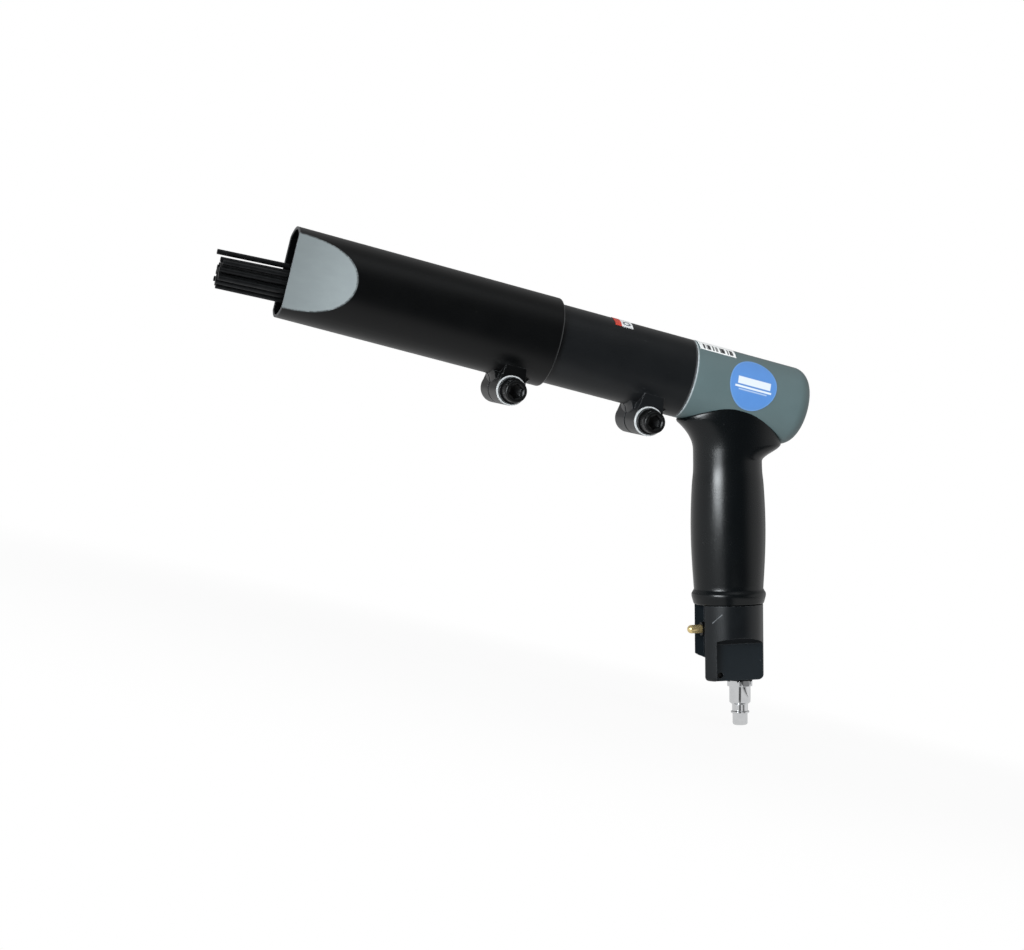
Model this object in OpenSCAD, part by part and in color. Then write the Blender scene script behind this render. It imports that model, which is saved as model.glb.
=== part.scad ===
// Pneumatic needle scaler with a pistol grip.
// X runs along the barrel with the nose towards -X, Z is up, and the origin is the middle of the hand grip.

/* [Nose tube] */
// Wall of the nose tube round the barrel tube
nose_seat_wall = 2.5; // [2:0.1:4]
// Length of the nose tube
nose_len = 138.5; // [130:0.5:150]
// Wall of the nose tube in front of its sliding seat
nose_wall = 1.4; // [1:0.1:1.8]
// Length of the seat that slides on the barrel tube
nose_seat_len = 62; // [50:1:70]
// Rounding of the nose tube's rear edge
nose_round = 1.2; // [0.4:0.1:1.8]
// How far each side of the mouth is pressed in
mouth_squeeze = 9.6; // [6:0.2:10.4]
// Radius of the press that narrows the mouth
press_r = 57; // [45:1:70]
// Distance from the head to the rear end of the nose tube
nose_setback = 73.6; // [66:0.2:80]

/* [Barrel tube] */
// Outer diameter of the barrel tube and of the head
barrel_d = 41; // [38:0.5:45]
// Wall of the barrel tube
barrel_wall = 2; // [1.6:0.1:2.4]

/* [Clamps] */
// Diameter of the clamp bosses under the tubes
boss_d = 15.2; // [14.6:0.2:17]
// Length of the clamp bosses across the tube, as a share of the barrel's diameter
boss_len_share = 0.78; // [0.64:0.01:0.84]
// Distance from the tube's surface down to the clamp screw
boss_drop = 5.8; // [5.4:0.1:7]
// Width of a boss's web where it meets the side of its tube
boss_web = 10; // [8:0.5:13]
// Height of the sloping collar between a boss and its tube
boss_collar = 3.6; // [2:0.2:4.4]
// Turn of the clamps about the barrel in degrees
clamp_turn = 3.5; // [0:0.5:6]
// Width of the clamp slits
slit_w = 1.6; // [1:0.1:2.4]
// Length of the clamp slits
slit_len = 33; // [29:1:36]
// Distance from the nose tube's rear end to its clamp screw
front_inset = 17.5; // [14.5:0.5:19]
// Distance from the barrel tube's rear end to its clamp screw
rear_inset = 17; // [14.5:0.5:19]
// Thread diameter of the clamp screws
screw_d = 7.9; // [6:0.1:8]
// Head diameter of the clamp screws
screw_head_d = 11.4; // [10.4:0.2:12]
// Head height of the clamp screws
screw_head_h = 7.8; // [6:0.2:9]
// Width across flats of the hexagon socket
screw_socket = 6.4; // [4:0.1:6.5]
// Depth of the hexagon socket
socket_depth = 4.5; // [3:0.5:5.5]
// Outer diameter of the plain washers
washer_d = 15; // [13.2:0.2:15.4]
// Thickness of the plain washers
washer_t = 1.6; // [1:0.1:2]
// Outer diameter of the spring lock washers
lock_washer_d = 13.2; // [11.4:0.2:13.6]
// Thickness of the spring lock washers
lock_washer_t = 2; // [1.4:0.1:2.4]

/* [Needle pack] */
// Spacing of the needles in the holder, as a share of the barrel bore's radius
needle_pitch_share = 0.254; // [0.24:0.002:0.264]
// Diameter of a needle, as a share of their spacing
needle_d_share = 0.553; // [0.453:0.01:0.603]
// Diameter of a needle's forged head, as a share of their spacing
needle_head_share = 0.89; // [0.78:0.01:0.92]
// Height of a needle's forged head
needle_head_h = 3; // [2:0.2:4]
// How far the needles stand out of the nose
needle_reach = 32.4; // [25:0.2:45]
// How unevenly the needle points end
needle_uneven = 0.6; // [0:0.1:3]
// How far the loose needles hang down at their points
needle_droop = 8.1; // [4:0.1:8.5]
// Length of the needle holder
holder_len = 12; // [9:0.5:14]
// Room between the needle return spring and the barrel's bore
needle_spring_room = 1.9; // [1.4:0.1:2.4]
// Length of the needle return spring
needle_spring_len = 27.25; // [24:0.25:34]
// Wire diameter of the needle return spring
needle_spring_wire = 2.2; // [1.8:0.1:2.6]
// Thickness of the spring's seat ring
seat_ring_t = 4; // [3:0.2:5]
// Width of the spring's seat ring
seat_ring_w = 5; // [4.2:0.1:5.3]
// Thickness of the retaining ring
circlip_t = 1.3; // [1:0.1:1.6]
// How far the retaining ring sits inside the barrel tube's front end
circlip_inset = 2; // [1.5:0.1:3]

/* [Hammer] */
// Length of the cylinder
cylinder_len = 86; // [82:0.5:88]
// Wall of the cylinder
cylinder_wall = 6.45; // [5.6:0.05:7.4]
// Depth of the pocket for the valve at the rear of the cylinder
valve_pocket_len = 18; // [16:0.5:19]
// Wall of the pocket for the valve
valve_pocket_wall = 3.45; // [2.95:0.05:4.4]
// Thickness of the valve cover
valve_cover_t = 8; // [6:0.5:9]
// Rim of the valve cover round the valve plate
valve_rim = 5; // [4:0.2:6]
// Thickness of the valve plate
valve_plate_t = 1.2; // [0.8:0.1:1.5]
// Room that the valve plate flutters in
valve_room = 2.2; // [1.9:0.1:2.6]
// Length of the piston
piston_len = 20; // [16:0.5:22]
// Wall of the cylinder round the anvil bush
bush_seat_wall = 4.45; // [3.5:0.05:5.4]
// Length of the anvil bush
bush_len = 22; // [20:0.5:24]
// Wall of the anvil bush
bush_wall = 6; // [5:0.2:7]
// How far the anvil stands into the cylinder
anvil_stick = 6; // [5:0.5:8]
// Room between the anvil's head and the barrel's bore
anvil_room = 1.5; // [0.6:0.1:3]
// Length of the anvil's head
anvil_head_len = 13.7; // [10:0.1:14]
// Thickness of the rubber buffer behind the cylinder
buffer_t = 2; // [1.5:0.1:2.5]

/* [Head] */
// Length of the head
head_len = 66; // [63:0.5:70]
// Rounding of the head's rear edge
head_round = 8; // [4:0.5:10]
// Depth of the bore that holds the cylinder
head_bore_depth = 10; // [8:0.5:11]
// Diameter of the air passages in the head
air_passage_d = 7; // [5:0.5:8]

/* [Grip] */
// Distance from the head's front face to the grip's axis, on the barrel's axis
grip_setback = 25.5; // [25:0.5:28]
// Backward lean of the grip in degrees
grip_rake = 14.6; // [12:0.2:16]
// Distance from the barrel's axis to the middle of the hand grip
grip_drop = 66; // [60:1:70]
// Distance from the barrel's axis to the lower end of the grip sleeve
grip_end = 111; // [106:0.5:116]
// Fore-and-aft depth of the grip at its neck
grip_neck = 35.8; // [34:0.2:38]
// Fore-and-aft depth of the grip just above its lip
grip_low = 36.2; // [34:0.2:38]
// Extra depth of the palm swell
grip_swell = 3; // [1:0.2:5]
// How far the flange spreads forwards
flange_front = 9.4; // [7:0.2:11]
// How far the flange spreads backwards
flange_rear = 10.2; // [8:0.1:12]
// Width of the flange under the head, as a share of the head's diameter
flange_width_share = 0.878; // [0.84:0.002:0.9]
// Height of the lip at the lower end
lip_h = 1.3; // [0.6:0.1:2]
// Length of the lip along the grip
lip_len = 8; // [6:0.5:10]
// Outer diameter of the handle tube inside the grip
handle_d = 20; // [18:0.5:20.5]
// Bore of the handle tube
handle_bore = 13; // [11:0.5:14]
// Distance from the barrel's axis to the handle tube's upper end
handle_top = 12; // [10:0.5:13]
// Depth of the handle tube's socket in the inlet block, as a share of the block's length
handle_seat_share = 0.154; // [0.13:0.002:0.164]

/* [Inlet block] */
// Diameter of the inlet block
block_d = 35.6; // [34:0.2:37]
// Length of the inlet block
block_len = 39; // [38:0.5:42]
// Width across the wrench flats
tang_w = 19; // [17:0.5:22]
// Distance from the block's top to the wrench flats, as a share of the block's length
tang_start_share = 0.513; // [0.489:0.001:0.56]
// Rise of the sloping shoulder above the wrench flats
shoulder_rise = 4; // [2:0.5:5]
// Distance from the block's axis to the front end of the wrench flats
flat_front = 11.8; // [11:0.1:13]
// Distance from the block's axis to the front face under the far cheek
tang_front = 10.45; // [10.35:0.05:10.9]
// Distance from the block's top to the slope under the throttle slot, as a share of the block's length
nose_slope_share = 0.626; // [0.59:0.001:0.66]
// Height of the slope under the throttle slot
nose_slope_h = 4; // [2:0.5:5]
// Width of the throttle slot
slot_w = 15; // [12:0.5:16]
// Distance from the block's axis to the floor of the throttle slot
slot_floor = 11; // [10.8:0.1:12]
// Distance from the block's top to the throttle pin, as a share of the block's length
pin_drop_share = 0.3205; // [0.31:0.0005:0.333]
// Diameter of the throttle pin
pin_d = 4.4; // [3.6:0.1:4.8]
// Reach of the throttle pin in front of the block's axis
pin_reach = 22.9; // [21:0.1:24]
// Diameter of the throttle pin's bush
pin_bush_d = 7; // [6.4:0.1:7.6]
// How far the bush stands out of the slot's floor
pin_bush_stick = 4.5; // [2:0.1:5]
// Diameter of the valve chamber
chamber_d = 14; // [13:0.2:15]
// Distance from the block's top to the floor of the valve chamber, as a share of the block's length
chamber_floor_share = 0.7436; // [0.734:0.0002:0.768]
// Distance from the block's top to the tilt valve's seat face, as a share of the block's length
valve_face_share = 0.5692; // [0.559:0.0002:0.579]
// Diameter of the tilt valve's disc
tilt_disc_d = 10.4; // [9.6:0.1:11]
// Diameter of the tilt valve's stem
tilt_stem_d = 3.2; // [2.6:0.1:3.6]
// Diameter of the cross pin in the lower end
cross_pin_d = 3; // [2.5:0.1:3]

/* [Air plug] */
// Distance from the block's axis back to the plug's axis
plug_offset = 5.8; // [5:0.1:6.2]
// Thread diameter of the plug
plug_thread_d = 10.4; // [9.6:0.1:10.8]
// Width across flats of the plug's hexagon
plug_hex = 13; // [12:0.5:14]
// Height of the hexagon
plug_hex_h = 3; // [2:0.2:4]
// Diameter of the plug's body
plug_body_d = 11; // [10:0.1:11.8]
// Length of the plug's body
plug_body_len = 8.6; // [7:0.2:10]
// Diameter of the plug's neck
plug_neck_d = 8.2; // [7.6:0.1:8.8]
// Length of the plug's neck
plug_neck_len = 3.6; // [3:0.1:5]
// Diameter of the plug's catch ring
plug_catch_d = 9.6; // [9:0.1:10.4]
// Diameter of the plug's tip
plug_tip_d = 7.8; // [6.8:0.1:8.2]
// Length of the plug's tip
plug_tip_len = 6.2; // [5:0.1:8]
// Bore of the plug
plug_bore = 5; // [4:0.1:5.6]

/* [Labels] */
// Diameter of the round label, as a share of the head's diameter
round_label_share = 0.634; // [0.534:0.01:0.644]
// Length of the strip label on the head
strip_label_len = 20; // [16:0.5:23]
// Width of the strip label on the head
strip_label_w = 14; // [8:0.5:16]
// Length of the small label on the barrel tube
small_label_len = 9.6; // [7:0.2:12]
// Width of the small label on the barrel tube
small_label_w = 12; // [6:0.5:14]

/* [Hidden] */
$fn = 96;

// Clearances
fit_gap = 0.05;
part_gap = 0.3;
overrun = 1;

// Needle columns and the small spread of the points
needle_columns = [3, 4, 5, 4, 3];
column_share = sin(60);
tip_spread_share = 0.79;
tip_jitter = 0.25;
top_needle_lift = 1.73;
top_needle_reach = 2.6;
golden_angle = 137.5;

// Springs
needle_spring_turns = 6;
tilt_spring_turns = 3;
tilt_spring_d = 7.4;
tilt_spring_wire = 0.6;
coil_dead_share = 0.85;
coil_rings = 8;
coil_sides = 6;

// Small sizes of the hammer
piston_rest = 1;
piston_groove_w = 1.2;
piston_groove_depth = 0.6;
seal_wire = 1.9;
seal_inset = 4;
port_d = 3;
port_count = 3;
port_circle_share = 0.42;
exhaust_groove_d = 3;
exhaust_back = 22;
anvil_dish_depth = 1.2;
anvil_dish_inset = 3;
circlip_bite = 0.45;
circlip_depth = 3;
circlip_gap = 9;
screw_end_inset = 2;
socket_points = 6;
lock_split_w = 1.2;
collar_knee_share = 0.3;
collar_len_share = 0.6;

// Small sizes of the handle and the inlet
handle_seal_wire = 1.4;
handle_seal_inset = 3;
valve_seat_t = 2.8;
valve_seat_bore = 8;
tilt_disc_t = 2;
tilt_stem_len = 12.2;
tilt_lift_gap = 0.2;
pin_collar_d = 6.2;
pin_collar_len = 1.2;
pin_inner_end = 2.3;
plug_thread_share = 0.2205;
plug_seal_t = 0.8;
plug_seal_lip = 1.6;
plug_catch_h = 1;
plug_tip_chamfer = 0.8;
plug_shoulder_h = 1;
screen_t = 0.8;
screen_hole_d = 1.6;
screen_hole_count = 6;
screen_circle_share = 0.6;
cross_pin_in = 8.6;
cross_pin_up = 3;
cross_pin_recess = 1.4;
cross_pin_end = 5;
far_bevel_w = 3.7;
far_bevel_in = 1.5;
block_edge = 2.3;
plug_hex_turn = 8;

// Flange and lip of the grip
flare_top = 6;
front_flare_start = 31;
front_flare_end = 15.6;
side_flare_end = 13;
rear_flare_start = 37;
rear_flare_end = 28.2;
flange_blunt = 0.5;
neck_at = 38;
grip_width_share = 0.96;
flange_rings = 22;
grip_rings = 12;
grip_sides = 56;
lip_shares = [[0.12, 0.35], [0.25, 0.85], [0.38, 1], [0.52, 0.9], [0.76, 0.5], [1, 0.1]];

// Labels
label_t = 0.15;
label_gap = 0.03;
round_label_at = 31.5;
round_label_up = 12;
strip_label_at = 1.6;
strip_label_up = 70;
small_label_at = 45.2;
small_label_up = 69;

// Colours
satin_black = "#1b1c1e";
head_grey = "#66757b";
rubber_black = "#141516";
block_black = "#26292c";
screw_black = "#17181a";
zinc_bright = "#c9cdd0";
steel = "#8d9196";
dark_steel = "#3a3d40";
bronze = "#a9803f";
brass_gold = "#c79a3c";
nitrile = "#101010";
chrome_bright = "#dfe3e6";
label_blue = "#2f73b8";
label_white = "#eceeee";
label_red = "#c23a30";

// Places along the barrel, counted from the head's front face, with the nose at -X
barrel_r = barrel_d / 2;
barrel_bore_r = barrel_r - barrel_wall;
nose_r = barrel_r + nose_seat_wall;
nose_seat_r = barrel_r + fit_gap;
nose_rear = -nose_setback;
nose_front = nose_rear - nose_len;
mouth_half = nose_r - mouth_squeeze;
front_screw_x = nose_rear - front_inset;
rear_screw_x = -part_gap - rear_inset;
boss_len = barrel_d * boss_len_share;
cylinder_r = barrel_bore_r - fit_gap;
cylinder_bore_r = cylinder_r - cylinder_wall;
valve_pocket_r = cylinder_r - valve_pocket_wall;
valve_plate_r = valve_pocket_r - valve_rim;
bush_r = cylinder_r - bush_seat_wall;
anvil_r = bush_r - bush_wall;
anvil_head_r = barrel_bore_r - anvil_room;
cylinder_rear = head_bore_depth - buffer_t;
cylinder_front = cylinder_rear - cylinder_len;
pocket_front = cylinder_rear - valve_pocket_len;
cover_front = cylinder_rear - valve_cover_t;
bore_front = cylinder_front + bush_len;
piston_rear = pocket_front - piston_rest;
anvil_rear = bore_front + anvil_stick;
anvil_shoulder = cylinder_front - part_gap;
anvil_front = anvil_shoulder - anvil_head_len;
needle_rear = anvil_front - part_gap;
holder_rear = needle_rear - needle_head_h;
holder_front = holder_rear - holder_len;
spring_front = holder_front - fit_gap - needle_spring_len;
seat_ring_front = spring_front - fit_gap - seat_ring_t;
circlip_front = seat_ring_front - fit_gap - circlip_t;
barrel_front = circlip_front - circlip_inset;
needle_pitch = barrel_bore_r * needle_pitch_share;
needle_d = needle_pitch * needle_d_share;
needle_head_d = needle_pitch * needle_head_share;

round_label_d = barrel_d * round_label_share;

// Places along the grip, counted from the barrel's axis
cross_x = -grip_drop * sin(grip_rake);
cross_z = grip_drop * cos(grip_rake);
joint_x = cross_x - grip_setback;
handle_r = handle_d / 2;
block_top = grip_end + fit_gap;
block_end = block_top + block_len;
handle_seat = block_len * handle_seat_share;
handle_end = block_top + handle_seat - fit_gap;
block_r = block_d / 2;
tang_level = block_top + block_len * tang_start_share;
nose_slope_level = block_top + block_len * nose_slope_share;
pin_level = block_top + block_len * pin_drop_share;
valve_level = block_top + block_len * valve_face_share;
chamber_end = block_top + block_len * chamber_floor_share;
chamber_r = chamber_d / 2;
plug_thread_len = block_len * plug_thread_share;

// Frames of the barrel and of the grip
module on_barrel() {
    translate([joint_x, 0, cross_z]) children();
}
module on_grip() {
    translate([cross_x, 0, cross_z]) rotate([0, -grip_rake, 0]) children();
}

// Rods and rings along the barrel
module rod_x(x0, x1, r) {
    translate([x0, 0, 0]) rotate([0, 90, 0]) cylinder(h = x1 - x0, r = r);
}
module ring_x(x0, x1, outer, inner) {
    difference() {
        rod_x(x0, x1, outer);
        rod_x(x0 - overrun, x1 + overrun, inner);
    }
}
// Rod along the barrel with its rear edge rounded
module turned_x(x0, x1, r, edge) {
    translate([x0, 0, 0]) rotate([0, 90, 0]) rotate_extrude() {
        square([r - edge, x1 - x0]);
        square([r, x1 - x0 - edge]);
        translate([r - edge, x1 - x0 - edge]) circle(edge);
    }
}
// Rods and rings along the grip, between two distances from the barrel's axis
module rod_l(l0, l1, r) {
    translate([0, 0, -l1]) cylinder(h = l1 - l0, r = r);
}
module ring_l(l0, l1, outer, inner) {
    difference() {
        rod_l(l0, l1, outer);
        rod_l(l0 - overrun, l1 + overrun, inner);
    }
}
// Round seal: a wire bent to a ring about Z
module seal_ring(r, wire) {
    rotate_extrude() translate([r, 0]) circle(wire / 2);
}
// Closed skin over rings of points, from the first ring down to the last
module skin(rings) {
    n = len(rings[0]);
    last = len(rings) - 1;
    points = [for (ring = rings) for (p = ring) p];
    first_half = [for (i = [0 : last - 1]) for (j = [0 : n - 1])
        [i * n + j, i * n + (j + 1) % n, (i + 1) * n + (j + 1) % n]];
    second_half = [for (i = [0 : last - 1]) for (j = [0 : n - 1])
        [i * n + j, (i + 1) * n + (j + 1) % n, (i + 1) * n + j]];
    top = [[for (j = [n - 1 : -1 : 0]) j]];
    bottom = [[for (j = [0 : n - 1]) last * n + j]];
    polyhedron(points, concat(first_half, second_half, top, bottom));
}

// Coil spring along Z, standing on z = 0, with one dead turn at each end
function coil_height(turn, turns, length, wire) =
    let (dead = (length - wire) / turns * coil_dead_share, run = length - wire - dead * 2)
    wire / 2 + (turn < 1 ? turn * dead
        : turn > turns - 1 ? length - wire - (turns - turn) * dead
        : dead + run * (turn - 1) / (turns - 2));
function coil_point(turn, turns, length, wire, r) =
    [r * cos(360 * turn), r * sin(360 * turn), coil_height(turn, turns, length, wire)];
function unit(v) = v / norm(v);
function coil_ring(turn, turns, length, wire, r) =
    let (step = 1 / coil_rings / 2,
         here = coil_point(turn, turns, length, wire, r),
         ahead = coil_point(min(turn + step, turns), turns, length, wire, r),
         behind = coil_point(max(turn - step, 0), turns, length, wire, r),
         way = unit(ahead - behind),
         out = unit([here.x, here.y, 0] - way * ([here.x, here.y, 0] * way)),
         side = cross(out, way))
    [for (k = [0 : coil_sides - 1])
        here + (out * cos(360 * k / coil_sides) + side * sin(360 * k / coil_sides)) * wire / 2];
function coil_least_gap(turns, length, wire) =
    min([for (turn = [0 : 1 / coil_rings : turns - 1])
        coil_height(turn + 1, turns, length, wire) - coil_height(turn, turns, length, wire)]) - wire;
module coil_spring(turns, length, wire, r) {
    echo("least gap between turns", coil_least_gap(turns, length, wire));
    skin([for (k = [0 : turns * coil_rings]) coil_ring(k / coil_rings, turns, length, wire, r)]);
}

// Clamp boss under a tube at x = 0, with its web and its collar, before the bore and the slit are cut
module clamp_boss(tube_r, bore_r) {
    screw_z = -tube_r - boss_drop;
    web_r = (tube_r + bore_r) / 2;
    web_top = -sqrt(web_r * web_r - boss_len * boss_len / 4);
    half_len = boss_d / 2 + boss_collar;
    knee_x = half_len - boss_collar * (1 - collar_knee_share);
    knee_r = tube_r + boss_collar * collar_knee_share;
    collar_len = boss_len * collar_len_share;
    rotate([clamp_turn, 0, 0]) {
        rotate([90, 0, 0]) linear_extrude(height = boss_len, center = true) {
            translate([0, screw_z]) circle(boss_d / 2);
            polygon([[-boss_d / 2, screw_z], [boss_d / 2, screw_z],
                [boss_web / 2, web_top], [-boss_web / 2, web_top]]);
        }
        intersection() {
            rotate([0, 90, 0]) rotate_extrude() polygon([
                [web_r, -half_len], [knee_r, -knee_x], [tube_r + boss_collar, -boss_d / 2],
                [tube_r + boss_collar, boss_d / 2], [knee_r, knee_x], [web_r, half_len]]);
            translate([-half_len, -collar_len / 2, -2 * tube_r]) cube([2 * half_len, collar_len, 2 * tube_r]);
        }
    }
}
// Slit of a clamp and its screw hole, from the tube's rear end at x = 0
module clamp_cuts(tube_r, inset) {
    screw_z = -tube_r - boss_drop;
    depth = tube_r + boss_drop + boss_d;
    rotate([clamp_turn, 0, 0]) {
        translate([-slit_len, -slit_w / 2, -depth]) cube([slit_len + overrun, slit_w, depth]);
        translate([-slit_len, 0, -depth]) cylinder(h = depth, r = slit_w);
        translate([-inset, 0, screw_z]) rotate([90, 0, 0])
            cylinder(h = boss_len + 2 * overrun, r = screw_d / 2 + fit_gap, center = true);
    }
}
// Place of a clamp screw at x under a tube: local Z points to the screw's head
module at_clamp(x, tube_r) {
    rotate([clamp_turn, 0, 0]) translate([x, -boss_len / 2, -tube_r - boss_drop]) rotate([90, 0, 0]) children();
}
module clamp_screw(x, tube_r) {
    under_head = washer_t + lock_washer_t + 2 * fit_gap;
    reach = boss_len - screw_end_inset;
    at_clamp(x, tube_r) difference() {
        union() {
            translate([0, 0, -reach]) cylinder(h = reach + under_head + overrun, r = screw_d / 2);
            translate([0, 0, under_head]) cylinder(h = screw_head_h, r = screw_head_d / 2);
        }
        translate([0, 0, under_head + screw_head_h - socket_depth])
            cylinder(h = socket_depth + overrun, d = screw_socket / cos(180 / socket_points),
                $fn = socket_points);
    }
}
module clamp_washer(x, tube_r) {
    at_clamp(x, tube_r) translate([0, 0, fit_gap]) difference() {
        cylinder(h = washer_t, r = washer_d / 2);
        translate([0, 0, -overrun]) cylinder(h = washer_t + 2 * overrun, r = screw_d / 2 + fit_gap);
    }
}
module lock_washer(x, tube_r) {
    at_clamp(x, tube_r) translate([0, 0, washer_t + 2 * fit_gap]) difference() {
        cylinder(h = lock_washer_t - fit_gap, r = lock_washer_d / 2);
        translate([0, 0, -overrun]) cylinder(h = lock_washer_t + 2 * overrun, r = screw_d / 2 + fit_gap);
        translate([0, -lock_split_w / 2, -overrun])
            cube([lock_washer_d, lock_split_w, lock_washer_t + 2 * overrun]);
    }
}

// Press that narrows the mouth from both sides, grown outwards by a wall
module mouth_press(wall) {
    for (side = [-1, 1])
        translate([nose_front, side * (mouth_half + press_r), 0])
            cylinder(h = 4 * nose_r, r = press_r + wall, center = true);
}
module nose_tube() {
    color(satin_black) on_barrel() difference() {
        union() {
            difference() {
                turned_x(nose_front, nose_rear, nose_r, nose_round);
                mouth_press(0);
            }
            translate([front_screw_x, 0, 0]) clamp_boss(nose_r, nose_seat_r);
        }
        difference() {
            union() {
                rod_x(nose_front - overrun, nose_rear - nose_seat_len, nose_r - nose_wall);
                rod_x(nose_rear - nose_seat_len - overrun, nose_rear + overrun, nose_seat_r);
            }
            mouth_press(nose_wall);
        }
        translate([nose_rear, 0, 0]) clamp_cuts(nose_r, front_inset);
    }
}
module front_clamp_screw() {
    color(screw_black) on_barrel() clamp_screw(front_screw_x, nose_r);
}
module front_clamp_washer() {
    color(zinc_bright) on_barrel() clamp_washer(front_screw_x, nose_r);
}
module front_lock_washer() {
    color(screw_black) on_barrel() lock_washer(front_screw_x, nose_r);
}

module barrel_tube() {
    color(satin_black) on_barrel() difference() {
        union() {
            rod_x(barrel_front, -part_gap, barrel_r);
            translate([rear_screw_x, 0, 0]) clamp_boss(barrel_r, barrel_bore_r);
        }
        rod_x(barrel_front - overrun, overrun, barrel_bore_r);
        rod_x(circlip_front, circlip_front + circlip_t, barrel_bore_r + circlip_bite + fit_gap);
        translate([-part_gap, 0, 0]) clamp_cuts(barrel_r, rear_inset);
    }
}
module rear_clamp_screw() {
    color(screw_black) on_barrel() clamp_screw(rear_screw_x, barrel_r);
}
module rear_clamp_washer() {
    color(zinc_bright) on_barrel() clamp_washer(rear_screw_x, barrel_r);
}
module rear_lock_washer() {
    color(screw_black) on_barrel() lock_washer(rear_screw_x, barrel_r);
}

// Needles: columns of the pack, and each needle's head and point
needle_places = [for (column = [0 : len(needle_columns) - 1]) for (k = [0 : needle_columns[column] - 1])
    [(column - (len(needle_columns) - 1) / 2) * needle_pitch * column_share,
     (k - (needle_columns[column] - 1) / 2) * needle_pitch]];
needle_count = len(needle_places);
highest_place = max([for (place = needle_places) place.y]);
function is_top(i) = needle_places[i].y == highest_place;
function sway(i, turn) = sin(golden_angle * i * turn);
function needle_head(i) = [holder_rear, needle_places[i].x, needle_places[i].y];
function needle_point(i) = [
    nose_front - needle_reach - (is_top(i) ? top_needle_reach : needle_uneven * sway(i, 1)),
    needle_places[i].x * tip_spread_share + tip_jitter * sway(i, 2),
    needle_places[i].y * tip_spread_share + tip_jitter * sway(i, 3) - needle_droop
        + (is_top(i) ? top_needle_lift : 0)];
// Frame of needle i: local Z runs from its head to its point
module along_needle(i) {
    way = needle_point(i) - needle_head(i);
    translate(needle_head(i))
        rotate([0, acos(way.z / norm(way)), atan2(way.y, way.x)]) children();
}
module needles() {
    color(dark_steel) on_barrel() for (i = [0 : needle_count - 1]) {
        along_needle(i) translate([0, 0, -overrun])
            cylinder(h = norm(needle_point(i) - needle_head(i)) + overrun, r = needle_d / 2);
        translate(needle_head(i)) rod_x(fit_gap, needle_head_h, needle_head_d / 2);
    }
}
module needle_holder() {
    color(steel) on_barrel() difference() {
        rod_x(holder_front, holder_rear, barrel_bore_r - fit_gap);
        for (i = [0 : needle_count - 1])
            along_needle(i) translate([0, 0, -overrun])
                cylinder(h = holder_len + 2 * overrun, r = needle_d / 2 + fit_gap);
    }
}
module needle_spring() {
    color(steel) on_barrel() translate([spring_front, 0, 0]) rotate([0, 90, 0])
        coil_spring(needle_spring_turns, needle_spring_len, needle_spring_wire,
            barrel_bore_r - needle_spring_room - needle_spring_wire / 2);
}
module spring_seat_ring() {
    color(steel) on_barrel()
        ring_x(seat_ring_front, seat_ring_front + seat_ring_t,
            barrel_bore_r - fit_gap, barrel_bore_r - seat_ring_w);
}
module retaining_ring() {
    color(dark_steel) on_barrel() difference() {
        ring_x(circlip_front + fit_gap, circlip_front + circlip_t - fit_gap,
            barrel_bore_r + circlip_bite, barrel_bore_r - circlip_depth);
        translate([circlip_front - overrun, -circlip_gap / 2, 0])
            cube([circlip_t + 2 * overrun, circlip_gap, barrel_d]);
    }
}

module anvil() {
    dish_r = anvil_head_r - anvil_dish_inset;
    dish_ball = (dish_r * dish_r + anvil_dish_depth * anvil_dish_depth) / (2 * anvil_dish_depth);
    color(steel) on_barrel() difference() {
        union() {
            rod_x(anvil_shoulder - overrun, anvil_rear, anvil_r);
            rod_x(anvil_front, anvil_shoulder, anvil_head_r);
        }
        translate([anvil_front + anvil_dish_depth - dish_ball, 0, 0]) rotate([0, 90, 0]) sphere(dish_ball);
    }
}
module anvil_bush() {
    color(bronze) on_barrel()
        ring_x(cylinder_front, bore_front - fit_gap, bush_r - fit_gap, anvil_r + fit_gap);
}
module cylinder_sleeve() {
    groove_x = cylinder_rear - seal_inset;
    port_x = bore_front + exhaust_back;
    color(steel) on_barrel() difference() {
        rod_x(cylinder_front, cylinder_rear, cylinder_r);
        rod_x(cylinder_front - overrun, cylinder_rear + overrun, cylinder_bore_r);
        rod_x(cylinder_front - overrun, bore_front, bush_r);
        rod_x(pocket_front, cylinder_rear + overrun, valve_pocket_r);
        ring_x(groove_x - seal_wire / 2 - fit_gap, groove_x + seal_wire / 2 + fit_gap,
            barrel_r, cylinder_r - seal_wire - fit_gap);
        for (k = [0 : port_count - 1]) rotate([360 * k / port_count, 0, 0]) {
            translate([port_x, 0, 0]) cylinder(h = barrel_r, r = port_d / 2);
            translate([0, 0, cylinder_r])
                rod_x(cylinder_front - overrun, port_x, exhaust_groove_d / 2);
        }
    }
}
module cylinder_seal() {
    color(nitrile) on_barrel() translate([cylinder_rear - seal_inset, 0, 0]) rotate([0, 90, 0])
        seal_ring(cylinder_r - seal_wire / 2, seal_wire);
}
module piston() {
    color(steel) on_barrel() difference() {
        rod_x(piston_rear - piston_len, piston_rear, cylinder_bore_r - fit_gap);
        for (share = [1 / 3, 2 / 3])
            translate([piston_rear - piston_len * share, 0, 0])
                ring_x(-piston_groove_w / 2, piston_groove_w / 2,
                    barrel_r, cylinder_bore_r - piston_groove_depth);
    }
}
module valve_seat() {
    color(steel) on_barrel() difference() {
        rod_x(pocket_front, cover_front - fit_gap, valve_pocket_r - fit_gap);
        for (k = [0 : port_count - 1]) rotate([360 * k / port_count, 0, 0])
            translate([0, 0, valve_plate_r * port_circle_share])
                rod_x(pocket_front - overrun, cover_front + overrun, port_d / 2);
    }
}
module valve_plate() {
    color(steel) on_barrel()
        rod_x(cover_front + part_gap, cover_front + part_gap + valve_plate_t, valve_plate_r);
}
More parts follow.
